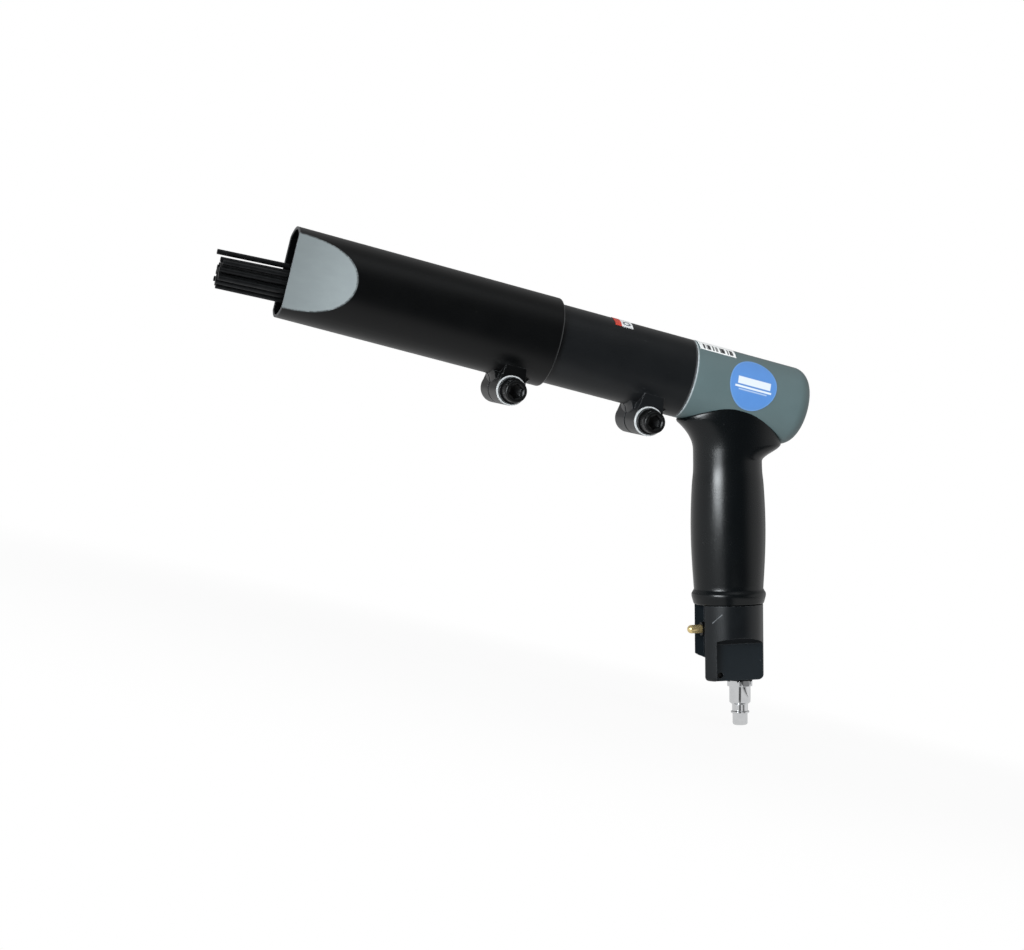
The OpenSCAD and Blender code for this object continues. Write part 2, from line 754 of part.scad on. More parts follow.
module valve_cover() {
    color(steel) on_barrel() difference() {
        rod_x(cover_front, cylinder_rear, valve_pocket_r - fit_gap);
        rod_x(cover_front - overrun, cover_front + valve_room, valve_plate_r + part_gap);
        rod_x(cover_front, cylinder_rear + overrun, air_passage_d / 2);
    }
}
module rear_buffer() {
    color(nitrile) on_barrel()
        ring_x(cylinder_rear + fit_gap, head_bore_depth - fit_gap, cylinder_r, valve_plate_r);
}

module head_housing() {
    color(head_grey) difference() {
        on_barrel() turned_x(0, head_len, barrel_r, head_round);
        on_barrel() rod_x(-overrun, head_bore_depth, barrel_bore_r);
        on_barrel() rod_x(head_bore_depth - overrun, grip_setback, air_passage_d / 2);
        on_grip() rod_l(-air_passage_d / 2, handle_top + overrun, air_passage_d / 2);
        on_grip() rod_l(handle_top, barrel_d, handle_r + fit_gap);
    }
}
module handle_tube() {
    color(steel) on_grip() difference() {
        ring_l(handle_top + fit_gap, handle_end, handle_r, handle_bore / 2);
        for (l = [handle_top + handle_seal_inset, handle_end - handle_seal_inset])
            ring_l(l - handle_seal_wire / 2 - fit_gap, l + handle_seal_wire / 2 + fit_gap,
                handle_d, handle_r - handle_seal_wire - fit_gap);
    }
}
module handle_seals() {
    color(nitrile) on_grip()
        for (l = [handle_top + handle_seal_inset, handle_end - handle_seal_inset])
            translate([0, 0, -l]) seal_ring(handle_r - handle_seal_wire / 2, handle_seal_wire);
}

// Grip: half depth, flares and half width at a distance from the barrel's axis
function clamped(v) = max(0, min(1, v));
lip_start = grip_end - lip_len;
function body_share(l) = clamped((l - neck_at) / (lip_start - neck_at));
function grip_half(l) =
    (grip_neck + (grip_low - grip_neck) * body_share(l)) / 2 + grip_swell / 2 * sin(180 * body_share(l));
function front_flare(l) =
    flange_front * pow(clamped((front_flare_start - l) / (front_flare_start - front_flare_end)), 2);
function smooth(t) = t * t * (3 - 2 * t);
function rear_share(l) = smooth(clamped((rear_flare_start - l) / (rear_flare_start - rear_flare_end)));
flange_side = barrel_r * flange_width_share - grip_half(neck_at) * grip_width_share;
function side_flare(l) =
    flange_side * pow(clamped((neck_at - l) / (neck_at - side_flare_end)), 2);
function grip_ring(l, lip) =
    let (front = grip_half(l) + front_flare(l) + lip, rear = grip_half(l) + flange_rear * rear_share(l) + lip,
         half_w = grip_half(l) * grip_width_share + side_flare(l) + lip,
         power = 2 / (2 + flange_blunt * rear_share(l)))
    [for (k = [0 : grip_sides - 1]) let (turn = 360 * k / grip_sides, bend = cos(turn) > 0 ? power : 1)
        [(rear - front) / 2 + (rear + front) / 2 * sign(cos(turn)) * pow(abs(cos(turn)), bend),
         half_w * sign(sin(turn)) * pow(abs(sin(turn)), bend), -l]];
module grip_sleeve() {
    flange = [for (k = [0 : flange_rings]) grip_ring(flare_top + (neck_at - flare_top) * k / flange_rings, 0)];
    body = [for (k = [1 : grip_rings]) grip_ring(neck_at + (lip_start - neck_at) * k / grip_rings, 0)];
    lip = [for (share = lip_shares) grip_ring(lip_start + lip_len * share[0], lip_h * share[1])];
    color(rubber_black) difference() {
        on_grip() skin(concat(flange, body, lip));
        on_barrel() turned_x(-head_bore_depth, head_len + fit_gap, barrel_r + fit_gap, head_round);
        on_grip() rod_l(0, grip_end + overrun, handle_r + fit_gap);
    }
}

module inlet_block() {
    slope_end = nose_slope_level + nose_slope_h;
    color(block_black) on_grip() difference() {
        translate([0, 0, -block_end]) rotate_extrude() {
            square([block_r - block_edge, block_len]);
            translate([0, block_edge]) square([block_r, block_len - block_edge]);
            translate([block_r - block_edge, block_edge]) circle(block_edge);
        }
        // Wrench flats with their sloping shoulders
        for (side = [0, 1]) mirror([0, side, 0])
            translate([-flat_front, 0, 0]) rotate([90, 0, 90]) linear_extrude(height = block_d) polygon([
                [tang_w / 2, -tang_level],
                [block_r + overrun, -tang_level + shoulder_rise],
                [block_r + overrun, -block_end - overrun],
                [tang_w / 2, -block_end - overrun]]);
        // Slope and front face under the far cheek of the throttle slot
        translate([0, block_r + overrun, 0]) rotate([90, 0, 0])
            linear_extrude(height = block_r + overrun + slot_w / 2) polygon([
                [-tang_front, -slope_end],
                [-block_r - overrun, -nose_slope_level],
                [-block_r - overrun, -block_end - overrun],
                [-tang_front, -block_end - overrun]]);
        // Bevel of that face's far edge
        translate([0, 0, -block_end - overrun])
            linear_extrude(height = block_end + overrun - slope_end) polygon([
                [-tang_front - far_bevel_in, tang_w / 2 - 2 * far_bevel_w],
                [-tang_front + 2 * far_bevel_in, tang_w / 2 + far_bevel_w],
                [-block_r - overrun, tang_w / 2 + far_bevel_w],
                [-block_r - overrun, tang_w / 2 - 2 * far_bevel_w]]);
        // Throttle slot
        translate([-block_r - overrun, -slot_w / 2, -block_end])
            cube([block_r + overrun - slot_floor, slot_w, block_len + overrun]);
        rod_l(block_top - overrun, block_top + handle_seat, handle_r + fit_gap);
        rod_l(block_top, chamber_end, chamber_r);
        translate([plug_offset, 0, 0])
            rod_l(chamber_end - overrun, block_end + overrun, plug_thread_d / 2 + fit_gap);
        translate([0, 0, -pin_level]) rod_x(-block_r, 0, pin_bush_d / 2 + fit_gap);
        translate([-cross_pin_in, cross_pin_end, -block_end + cross_pin_up]) rotate([90, 0, 0])
            cylinder(h = block_d, r = cross_pin_d / 2 + fit_gap);
    }
}
module throttle_pin() {
    color(brass_gold) on_grip() translate([0, 0, -pin_level]) {
        rod_x(-pin_reach + pin_d / 2, -pin_inner_end, pin_d / 2);
        translate([-pin_reach + pin_d / 2, 0, 0]) sphere(pin_d / 2);
        translate([-chamber_r + fit_gap + part_gap, 0, 0]) rod_x(0, pin_collar_len, pin_collar_d / 2);
    }
}
module throttle_bush() {
    color(screw_black) on_grip() translate([0, 0, -pin_level])
        ring_x(-slot_floor - pin_bush_stick, -chamber_r, pin_bush_d / 2, pin_d / 2 + fit_gap);
}
module tilt_valve() {
    disc_l = valve_level + tilt_lift_gap;
    color(brass_gold) on_grip() {
        rod_l(disc_l - tilt_stem_len, disc_l + overrun, tilt_stem_d / 2);
        rod_l(disc_l, disc_l + tilt_disc_t, tilt_disc_d / 2);
    }
}
module tilt_valve_seat() {
    color(nitrile) on_grip()
        ring_l(valve_level - valve_seat_t, valve_level, chamber_r - fit_gap, valve_seat_bore / 2);
}
module tilt_valve_spring() {
    spring_top = valve_level + tilt_lift_gap + tilt_disc_t + fit_gap;
    color(steel) on_grip() translate([0, 0, -chamber_end + fit_gap])
        coil_spring(tilt_spring_turns, chamber_end - spring_top - fit_gap, tilt_spring_wire, tilt_spring_d / 2);
}
module inlet_screen() {
    screen_l = block_end - plug_thread_len - fit_gap;
    screen_r = plug_thread_d / 2;
    color(brass_gold) on_grip() translate([plug_offset, 0, 0]) difference() {
        rod_l(screen_l - screen_t, screen_l, screen_r);
        for (k = [0 : screen_hole_count - 1]) rotate([0, 0, 360 * k / screen_hole_count])
            translate([screen_r * screen_circle_share, 0, 0])
                rod_l(screen_l - screen_t - overrun, screen_l + overrun, screen_hole_d / 2);
    }
}
module air_plug() {
    hex_l = block_end + plug_seal_t + 2 * fit_gap;
    body_l = hex_l + plug_hex_h;
    shoulder_l = body_l + plug_body_len;
    neck_l = shoulder_l + plug_shoulder_h;
    catch_l = neck_l + plug_neck_len;
    tip_l = catch_l + plug_catch_h;
    end_l = tip_l + plug_tip_len;
    color(chrome_bright) on_grip() translate([plug_offset, 0, 0]) difference() {
        union() {
            rod_l(block_end - plug_thread_len, hex_l + overrun, plug_thread_d / 2);
            translate([0, 0, -body_l]) rotate([0, 0, plug_hex_turn])
                cylinder(h = plug_hex_h, d = plug_hex / cos(180 / socket_points), $fn = socket_points);
            rod_l(body_l, shoulder_l, plug_body_d / 2);
            translate([0, 0, -neck_l])
                cylinder(h = plug_shoulder_h, r1 = plug_neck_d / 2, r2 = plug_body_d / 2);
            rod_l(neck_l, catch_l, plug_neck_d / 2);
            rod_l(catch_l, tip_l, plug_catch_d / 2);
            rod_l(tip_l, end_l - plug_tip_chamfer, plug_tip_d / 2);
            translate([0, 0, -end_l])
                cylinder(h = plug_tip_chamfer, r1 = plug_tip_d / 2 - plug_tip_chamfer, r2 = plug_tip_d / 2);
        }
        rod_l(block_end - plug_thread_len - overrun, end_l + overrun, plug_bore / 2);
    }
}
module plug_seal() {
    color(nitrile) on_grip() translate([plug_offset, 0, 0])
        ring_l(block_end + fit_gap, block_end + fit_gap + plug_seal_t,
            plug_thread_d / 2 + plug_seal_lip, plug_thread_d / 2 + fit_gap);
}
module cross_pin() {
    color(screw_black) on_grip() translate([-cross_pin_in, cross_pin_end - fit_gap, -block_end + cross_pin_up])
        rotate([90, 0, 0]) cylinder(h = tang_w / 2 + cross_pin_end - cross_pin_recess, r = cross_pin_d / 2);
}

// Thin curved skin round the barrel between two places, for the labels
module label_skin(x0, x1) {
    ring_x(x0, x1, barrel_r + label_gap + label_t, barrel_r + label_gap);
}
module round_label() {
    color(label_blue) on_barrel() intersection() {
        label_skin(round_label_at - round_label_d, round_label_at + round_label_d);
        translate([round_label_at, 0, 0]) rotate([90 - round_label_up, 0, 0])
            cylinder(h = barrel_d, r = round_label_d / 2);
    }
}
module strip_label() {
    color(label_white) on_barrel() intersection() {
        label_skin(strip_label_at, strip_label_at + strip_label_len);
        rotate([90 - strip_label_up, 0, 0]) translate([0, -strip_label_w / 2, 0])
            cube([strip_label_at + strip_label_len, strip_label_w, barrel_d]);
    }
}
module small_label() {
    color(label_red) on_barrel() translate([-small_label_at, 0, 0]) intersection() {
        label_skin(0, small_label_len);
        rotate([90 - small_label_up, 0, 0]) translate([0, -small_label_w / 2, 0])
            cube([small_label_len, small_label_w, barrel_d]);
    }
}

nose_tube();
front_clamp_screw();
front_clamp_washer();
front_lock_washer();
barrel_tube();
rear_clamp_screw();
rear_clamp_washer();
rear_lock_washer();
needles();
needle_holder();
needle_spring();
spring_seat_ring();
retaining_ring();
anvil();
anvil_bush();
cylinder_sleeve();
cylinder_seal();
piston();
valve_seat();
valve_plate();
valve_cover();
rear_buffer();
head_housing();
handle_tube();
handle_seals();
grip_sleeve();
inlet_block();
throttle_pin();
throttle_bush();
tilt_valve();
tilt_valve_seat();
tilt_valve_spring();
inlet_screen();
air_plug();
plug_seal();
cross_pin();
round_label();
strip_label();
small_label();
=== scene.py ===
# Looks of the needle scaler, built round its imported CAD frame
import math

import bmesh
import bpy
from mathutils import Matrix, Vector


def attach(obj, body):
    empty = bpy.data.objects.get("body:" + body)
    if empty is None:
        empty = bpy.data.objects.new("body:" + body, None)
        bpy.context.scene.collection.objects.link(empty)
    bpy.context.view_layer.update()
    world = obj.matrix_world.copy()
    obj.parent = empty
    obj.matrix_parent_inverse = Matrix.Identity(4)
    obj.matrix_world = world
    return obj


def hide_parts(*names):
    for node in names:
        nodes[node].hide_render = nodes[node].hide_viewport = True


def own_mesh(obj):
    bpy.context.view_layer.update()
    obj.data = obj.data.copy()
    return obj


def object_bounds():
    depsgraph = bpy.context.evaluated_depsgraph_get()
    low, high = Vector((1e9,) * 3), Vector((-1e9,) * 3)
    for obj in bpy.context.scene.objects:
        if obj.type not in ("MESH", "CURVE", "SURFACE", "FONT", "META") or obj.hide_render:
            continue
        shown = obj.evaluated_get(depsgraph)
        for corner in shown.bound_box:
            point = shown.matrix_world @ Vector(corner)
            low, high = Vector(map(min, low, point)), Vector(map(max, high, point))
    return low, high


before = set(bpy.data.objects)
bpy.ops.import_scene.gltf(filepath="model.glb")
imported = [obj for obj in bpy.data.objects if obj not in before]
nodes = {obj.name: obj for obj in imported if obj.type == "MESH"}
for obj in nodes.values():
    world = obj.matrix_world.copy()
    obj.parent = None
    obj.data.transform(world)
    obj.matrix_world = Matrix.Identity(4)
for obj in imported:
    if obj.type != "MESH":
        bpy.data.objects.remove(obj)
cad_low, cad_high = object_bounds()

# Sizes that the part's own source gives, in millimetres

MM = 0.001
FIT = 0.05

GRIP_RAKE = math.radians(14.6)
GRIP_DROP = 66.0
GRIP_SETBACK = 25.5
CROSS_X = -GRIP_DROP * math.sin(GRIP_RAKE)
CROSS_Z = GRIP_DROP * math.cos(GRIP_RAKE)
JOINT_X = CROSS_X - GRIP_SETBACK

HEAD_R = 20.5
HEAD_LEN = 66.0
HEAD_ROUND = 8.0
BARREL_R = 20.5
BARREL_REAR = -0.3
BARREL_FRONT = -142.0
NOSE_R = 23.0
NOSE_REAR = -73.6
NOSE_FRONT = NOSE_REAR - 138.5
MOUTH_HALF = 13.4
PRESS_R = 57.0

BOSS_HALF = 0.39 * (2 * BARREL_R)
BOSS_DROP = 5.8
CLAMP_TURN = math.radians(3.5)
SCREW_PLACES = {"front": (NOSE_REAR - 17.5, NOSE_R), "rear": (-17.3, BARREL_R)}
SCREW_UNDER_HEAD = 3.7
SCREW_HEAD_H = 7.8
SCREW_HEAD_R = 5.7
SCREW_R = 3.95
SCREW_SOCKET = 6.4
SCREW_END_INSET = 2.0

# Each label's middle along the barrel, and its turn up from the side in degrees
LABEL_PLACES = {"round": (31.5, 12.0), "strip": (11.6, 70.0), "small": (-40.4, 69.0)}

HANDLE_R = 10.0
GRIP_END = 111.0
GRIP_NECK_AT = 38.0
GRIP_NECK_DEPTH = 35.8
GRIP_DEPTH_GAIN = 0.4
GRIP_SWELL = 1.5
GRIP_WIDTH_SHARE = 0.96
FLANGE_FRONT, FLANGE_FRONT_FROM, FLANGE_FRONT_RUN = 9.4, 31.0, 15.4
FLANGE_REAR, FLANGE_REAR_FROM, FLANGE_REAR_RUN = 10.2, 37.0, 8.8
FLANGE_SIDE, FLANGE_SIDE_RUN = 0.815, 25.0
FLANGE_BLUNT = 0.5
LIP_LEN = 8.0
LIP_START = GRIP_END - LIP_LEN
LIP_H = 1.3

BLOCK_END = 150.05
PLUG_OFFSET = 5.8
PLUG_START = BLOCK_END + 0.9
PLUG_FLATS = 13.0
PLUG_HEX_TURN = 8.0

NEEDLE_SPRING_FRONT = -134.6
TILT_SPRING_FOOT = 140.0
COIL_END_SHARE = 0.85


def on_barrel(x, y=0.0, z=0.0):
    """Point given along the barrel from the head's front face, in the frame, in metres."""
    return Vector(((JOINT_X + x) * MM, y * MM, (CROSS_Z + z) * MM))


def on_grip(across, y, down):
    """Point given across and down the grip from the barrel's axis, in the frame, in metres."""
    sine, cosine = math.sin(GRIP_RAKE), math.cos(GRIP_RAKE)
    return Vector(((CROSS_X + across * cosine + down * sine) * MM, y * MM,
                   (CROSS_Z + across * sine - down * cosine) * MM))


def on_clamp(x, tube_r, across, up, out):
    """Point beside a clamp screw's axis, counted out from the boss's face towards the screw's head."""
    y, z = -BOSS_HALF - out, up - tube_r - BOSS_DROP
    sine, cosine = math.sin(CLAMP_TURN), math.cos(CLAMP_TURN)
    return on_barrel(x + across, y * cosine - z * sine, y * sine + z * cosine)


# Shader maths

BLACK, WHITE = (0.0, 0.0, 0.0), (1.0, 1.0, 1.0)
BEVEL_SAMPLES = 6

# Likeness of a surface's own and its rounded normal where an edge starts and where it is full
EDGE_START, EDGE_FULL = 0.985, 0.86


class Value:
    """A number that changes over a surface; sums on it add Math nodes."""

    def __init__(self, finish, socket):
        self.finish, self.socket = finish, socket

    def math(self, operation, *others):
        """The result of a Math node on this value and others."""
        sockets = dict(enumerate((self, *others)))
        return self.finish.add("ShaderNodeMath", {"operation": operation}, sockets)

    def flipped(self, operation, other):
        """The result of a Math node with this value second."""
        return self.finish.add("ShaderNodeMath", {"operation": operation}, {0: other, 1: self})

    def __add__(self, other):
        return self.math("ADD", other)

    def __radd__(self, other):
        return self.flipped("ADD", other)

    def __sub__(self, other):
        return self.math("SUBTRACT", other)

    def __rsub__(self, other):
        return self.flipped("SUBTRACT", other)

    def __mul__(self, other):
        return self.math("MULTIPLY", other)

    def __rmul__(self, other):
        return self.flipped("MULTIPLY", other)

    def __truediv__(self, other):
        return self.math("DIVIDE", other)

    def __rtruediv__(self, other):
        return self.flipped("DIVIDE", other)

    def __abs__(self):
        return self.math("ABSOLUTE")

    def rise(self, low, high):
        """0 below low, 1 above high, smooth between; low may be the larger one."""
        return self.finish.add("ShaderNodeMapRange", {"interpolation_type": "SMOOTHSTEP"},
                               {"Value": self, "From Min": low, "From Max": high})


class Shading:
    """A node tree, and the ways to add to it."""

    def __init__(self, tree):
        self.tree = tree
        tree.nodes.clear()

    def put(self, socket, value):
        """Sets or links one socket."""
        if isinstance(value, Value):
            self.tree.links.new(value.socket, socket)
        elif hasattr(value, "__len__") and len(value) == 3 and len(socket.default_value) == 4:
            socket.default_value = (*value, 1.0)
        else:
            socket.default_value = value

    def add(self, kind, settings=None, inputs=None, out=0):
        """Adds a node: its type, its settings first, then its sockets' values or links."""
        node = self.tree.nodes.new(kind)
        for key, value in (settings or {}).items():
            setattr(node, key, value)
        for key, value in (inputs or {}).items():
            self.put(node.inputs[key], value)
        return Value(self, node.outputs[out]) if node.outputs else None

    def vectors(self, operation, first, second, out=0):
        """The result of a Vector Math node on two vectors, or on a vector and a scale."""
        other = "Scale" if operation == "SCALE" else 1
        return self.add("ShaderNodeVectorMath", {"operation": operation}, {0: first, other: second}, out)

    def ray(self, kind):
        """1 for light paths of one kind, such as Camera or Glossy."""
        return self.add("ShaderNodeLightPath", out="Is " + kind + " Ray")

    def axes(self, vector):
        """The three numbers of a vector."""
        return [self.add("ShaderNodeSeparateXYZ", None, {0: vector}, axis) for axis in range(3)]

    def blend(self, share, first, second):
        """Colour between two colours by a share."""
        return self.add("ShaderNodeMix", {"data_type": "RGBA"}, {0: share, 6: first, 7: second}, 2)


class Finish(Shading):
    """A node material of one finish, on a Principled shader."""

    def __init__(self, name, **constants):
        self.material = bpy.data.materials.new(name)
        self.material.use_nodes = True
        super().__init__(self.material.node_tree)
        self.shader = self.tree.nodes.new("ShaderNodeBsdfPrincipled")
        self.surface = Value(self, self.shader.outputs[0])
        for key, value in constants.items():
            self.feed(key.replace("_", " "), value)

    def feed(self, socket, value):
        """Sets or links one input of the shader."""
        self.put(self.shader.inputs[socket], value)

    def done(self):
        """The finished material."""
        self.add("ShaderNodeOutputMaterial", None, {"Surface": self.surface})
        return self.material

    def place(self):
        """The point on the object, in millimetres, as a vector."""
        return self.vectors("SCALE", self.add("ShaderNodeTexCoord", out="Object"), 1 / MM)

    def shifted(self, vector, by):
        """A vector counted from another point."""
        return self.vectors("SUBTRACT", vector, by)

    def stretched(self, vector, by):
        """A vector multiplied axis by axis."""
        return self.vectors("MULTIPLY", vector, by)

    def noise(self, vector, scale, detail=3.0, rough=0.55):
        """Cloudy noise about 0.5, with a scale in waves for each millimetre."""
        return self.add("ShaderNodeTexNoise", None,
                        {"Vector": vector, "Scale": scale, "Detail": detail, "Roughness": rough})

    def cells(self, vector, scale):
        """Distance to the nearest of scattered points, as in a leathery grain."""
        return self.add("ShaderNodeTexVoronoi", None, {"Vector": vector, "Scale": scale}, "Distance")

    def rounded_normal(self, radius):
        """Normal over edges rounded by a radius in millimetres."""
        return self.add("ShaderNodeBevel", {"samples": BEVEL_SAMPLES}, {"Radius": radius * MM})

    def relief(self, height, strength, edge=0.0):
        """Bump of a height in millimetres, over edges rounded by a radius in millimetres."""
        sockets = {"Height": height * MM, "Distance": 1.0, "Strength": strength}
        if edge:
            sockets["Normal"] = self.rounded_normal(edge)
        self.feed("Normal", self.add("ShaderNodeBump", None, sockets))

    def near_line(self, place, start, end):
        """Distance in millimetres to the line between two points."""
        way = end - start
        from_start = self.shifted(place, tuple(start))
        dot = self.vectors("DOT_PRODUCT", from_start, tuple(way), "Value")
        share = (dot / way.length_squared).math("MAXIMUM", 0.0).math("MINIMUM", 1.0)
        return self.vectors("DISTANCE", from_start, self.vectors("SCALE", tuple(way), share), "Value")

    def edges(self, radius):
        """Near 1 along a piece's edges, within a radius in millimetres."""
        straight = self.add("ShaderNodeNewGeometry", out="Normal")
        alike = self.vectors("DOT_PRODUCT", self.rounded_normal(radius), straight, "Value")
        return alike.rise(EDGE_START, EDGE_FULL)


def rgb(*levels):
    """Linear colour of a screen colour given from 0 to 255."""
    shares = [level / 255 for level in levels]
    return tuple(((s + 0.055) / 1.055) ** 2.4 if s > 0.04045 else s / 12.92 for s in shares)


def speckle(f, place, scale, low, high):
    """Sparse small marks, from 0 to 1."""
    return f.noise(place, scale, detail=4.0, rough=0.6).rise(low, high)


# Finishes of tubes, head, grip and inlet block

# Where the block's wrench flats face and lie beside the middle plane, each with its soft edge
FLAT_FACING = (0.985, 0.996)
FLAT_INNER = (6.5, 7.5)
FLAT_OUTER = (11.0, 10.0)

# Ends of the block's one long scratch: across, sideways and down the grip
SCRATCH_START = (-13.45, -11.66, 119.73)
SCRATCH_END = (-9.51, -15.05, 115.31)
SCRATCH_WIDTH = (0.32, 0.12)


def pressed_mouth(f, place, colour, rough):
    """A coating's colour and roughness, with the nose's pressed faces worn bare, painted shade along their
    border, and its rim rubbed.
    """
    x, y, z = f.axes(place)
    along = x - (JOINT_X + NOSE_FRONT)
    side = abs(y) - (MOUTH_HALF + PRESS_R)
    rise = z - CROSS_Z
    bare = abs((side * side + along * along).math("SQRT") - PRESS_R).rise(0.3, 0.1)
    worn = f.noise(f.stretched(place, (0.4, 1.0, 1.0)), 0.25, detail=4.0)
    grey = f.blend(worn, rgb(137, 146, 148), rgb(149, 158, 160))
    colour = f.blend(bare, colour, grey)
    # Painted shade: a darker border, broken up by noise, where the pressed faces meet the round tube
    border = (y * y + rise * rise).math("SQRT").rise(NOSE_R - 0.45, NOSE_R - 0.05) * bare
    border_shade = border * f.noise(place, 0.9).rise(0.3, 0.6)
    colour = f.blend(border_shade * 0.8, colour, rgb(44, 47, 49))
    rim = abs(along).rise(0.6, 0.15) * (1.0 - bare)
    colour = f.blend(rim * 0.4, colour, rgb(128, 130, 132))
    return colour, rough * (1.0 - bare) + (0.5 + worn * 0.08) * bare


def satin_black_tube(name, ends, dark, light, pressed=False):
    """Satin black coating on a tube, paler at its edges from wear and painted highlight, with a painted
    highlight line at each of the given ends along the barrel.
    """
    f = Finish(name, Specular_IOR_Level=0.3)
    place = f.place()
    along = f.axes(place)[0]
    cloud = f.noise(place, 0.09)
    grain = f.noise(place, 2.6, detail=2.0)
    scuff = speckle(f, f.stretched(place, (0.25, 1.0, 1.0)), 0.8, 0.7, 0.75)
    # Pale edges: patchy wear that also stands in for painted highlights on the rims; each given end gets a
    # painted highlight line
    worn_and_highlit_edges = f.edges(0.3) * f.noise(place, 0.4).rise(0.35, 0.6)
    for end in ends:
        worn_and_highlit_edges = worn_and_highlit_edges.math("MAXIMUM", abs(along - (JOINT_X + end)).rise(0.9, 0.1))
    colour = f.blend(cloud, dark, light)
    colour = f.blend(worn_and_highlit_edges * 0.5, colour, rgb(122, 124, 126))
    colour = f.blend(scuff * 0.14, colour, rgb(96, 98, 100))
    rough = 0.29 + cloud * 0.08 + grain * 0.05 + scuff * 0.12
    if pressed:
        colour, rough = pressed_mouth(f, place, colour, rough)
    f.feed("Base Color", colour)
    f.feed("Roughness", rough)
    f.relief(grain * 0.006, 0.6, 0.35)
    return f.done()


def head_paint():
    """Grey paint with a faint orange peel, and a painted highlight along the front edge, varied a little by
    noise.
    """
    f = Finish("head_grey_paint", Specular_IOR_Level=0.4)
    place = f.place()
    cloud = f.noise(place, 0.07)
    peel = f.noise(place, 0.9, detail=2.0)
    colour = f.blend(cloud, rgb(88, 106, 108), rgb(97, 116, 118))
    front = abs(f.axes(place)[0] - JOINT_X).rise(0.95, 0.4)
    # Painted highlight: a pale band all along the front edge, standing in for the light caught there
    front_highlight = front * (0.7 + f.noise(place, 0.8).rise(0.4, 0.6) * 0.3)
    f.feed("Base Color", f.blend(front_highlight, colour, rgb(184, 192, 195)))
    f.feed("Roughness", 0.38 + cloud * 0.1 + peel * 0.06)
    f.relief(peel * 0.012, 0.6, 0.3)
    return f.done()


def grip_moulding():
    """Black moulded grip with a fine leathery grain and a few pale nicks."""
    f = Finish("grip_black_moulding", Specular_IOR_Level=0.36)
    place = f.place()
    cloud = f.noise(place, 0.08)
    grain = f.cells(place, 1.5)
    fine = f.noise(place, 3.5, detail=2.0)
    nick = speckle(f, place, 0.75, 0.72, 0.75)
    colour = f.blend(cloud, rgb(5, 8, 10), rgb(9, 13, 15))
    f.feed("Base Color", f.blend(nick * 0.4, colour, rgb(110, 112, 114)))
    f.feed("Roughness", 0.2 + cloud * 0.06 + grain * 0.05 + nick * 0.1)
    f.relief(grain * 0.016 + fine * 0.008, 0.5)
    return f.done()


def block_anodising():
    """Dark anodised inlet block: fine lines, paler wrench flats, pale edges that are partly wear and partly
    painted highlight, and scratches.
    """
    f = Finish("inlet_block_anodising", Specular_IOR_Level=0.45, Metallic=0.15)
    place = f.place()
    cloud = f.noise(place, 0.12)
    lines = f.noise(f.stretched(place, (0.15, 0.15, 3.0)), 1.2)
    scratch = speckle(f, f.stretched(place, (1.0, 1.0, 0.35)), 0.7, 0.71, 0.745)
    # Pale edges: patchy wear that also stands in for painted highlights, as along the block's top rim
    edge = f.edges(0.45) * f.noise(place, 0.5).rise(0.35, 0.65)
    facing = abs(f.axes(f.add("ShaderNodeNewGeometry", out="Normal"))[1])
    sideways = abs(f.axes(place)[1])
    flat = facing.rise(*FLAT_FACING) * sideways.rise(*FLAT_OUTER) * sideways.rise(*FLAT_INNER)
    long_scratch = f.near_line(place, on_grip(*SCRATCH_START) / MM, on_grip(*SCRATCH_END) / MM)
    colour = f.blend(cloud, rgb(11, 15, 18), rgb(17, 22, 26))
    colour = f.blend(flat, colour, rgb(30, 37, 42))
    colour = f.blend(edge * 0.4, colour, rgb(112, 116, 120))
    colour = f.blend(scratch * 0.4, colour, rgb(140, 144, 146))
    colour = f.blend(long_scratch.rise(*SCRATCH_WIDTH) * 0.7, colour, rgb(128, 132, 136))
    f.feed("Base Color", colour)
    f.feed("Roughness", 0.24 + cloud * 0.08 + lines * 0.08)
    f.relief(lines * 0.006, 0.6, 0.4)
    return f.done()


# Finishes of screws, washers, springs and inner pieces

# Distance from a clamp screw's axis where its washer starts to be bright, and where it is fully so; further
# in it is darker, with painted shade next to the screw head as well as oil
WASHER_BRIGHT = (6.75, 7.05)


def black_oxide(name, worn, shine=0.4):
    """Oiled black oxide, worn at the edges by a share."""
    f = Finish(name, Metallic=0.2 if worn else 0.0, Specular_IOR_Level=shine)
    place = f.place()
    cloud = f.noise(place, 0.5)
    fine = f.noise(place, 3.0, detail=2.0)
    colour = f.blend(cloud, rgb(5, 6, 7), rgb(12, 13, 14))
    f.feed("Base Color", f.blend(f.edges(0.25) * worn, colour, rgb(96, 98, 101)))
    f.feed("Roughness", 0.28 + fine * 0.2)
    f.relief(fine * 0.01, 0.6, 0.2)
    return f.done()


def washer_plating():
    """Zinc of the clamp washers, bright round their rims and darker further in, with oil and painted shade
    next to the screw heads.
    """
    f = Finish("washer_zinc", Metallic=0.3)
    place = f.place()
    reach = None
    for x, tube_r in SCREW_PLACES.values():
        start, end = (on_clamp(x, tube_r, 0.0, 0.0, out) / MM for out in (-2.0 * BOSS_HALF, SCREW_HEAD_H))
        near = f.near_line(place, start, end)
        reach = reach.math("MINIMUM", near) if reach else near
    fine = f.noise(place, 1.6)
    # Darker zinc further in: oil, with painted shade next to the screw head
    oil_and_shade = f.blend(fine, rgb(58, 61, 63), rgb(84, 87, 89))
    f.feed("Base Color", f.blend(reach.rise(*WASHER_BRIGHT), oil_and_shade, rgb(236, 239, 240)))
    f.feed("Roughness", 0.28 + fine * 0.16)
    f.relief(fine * 0.004, 0.6, 0.15)
    return f.done()


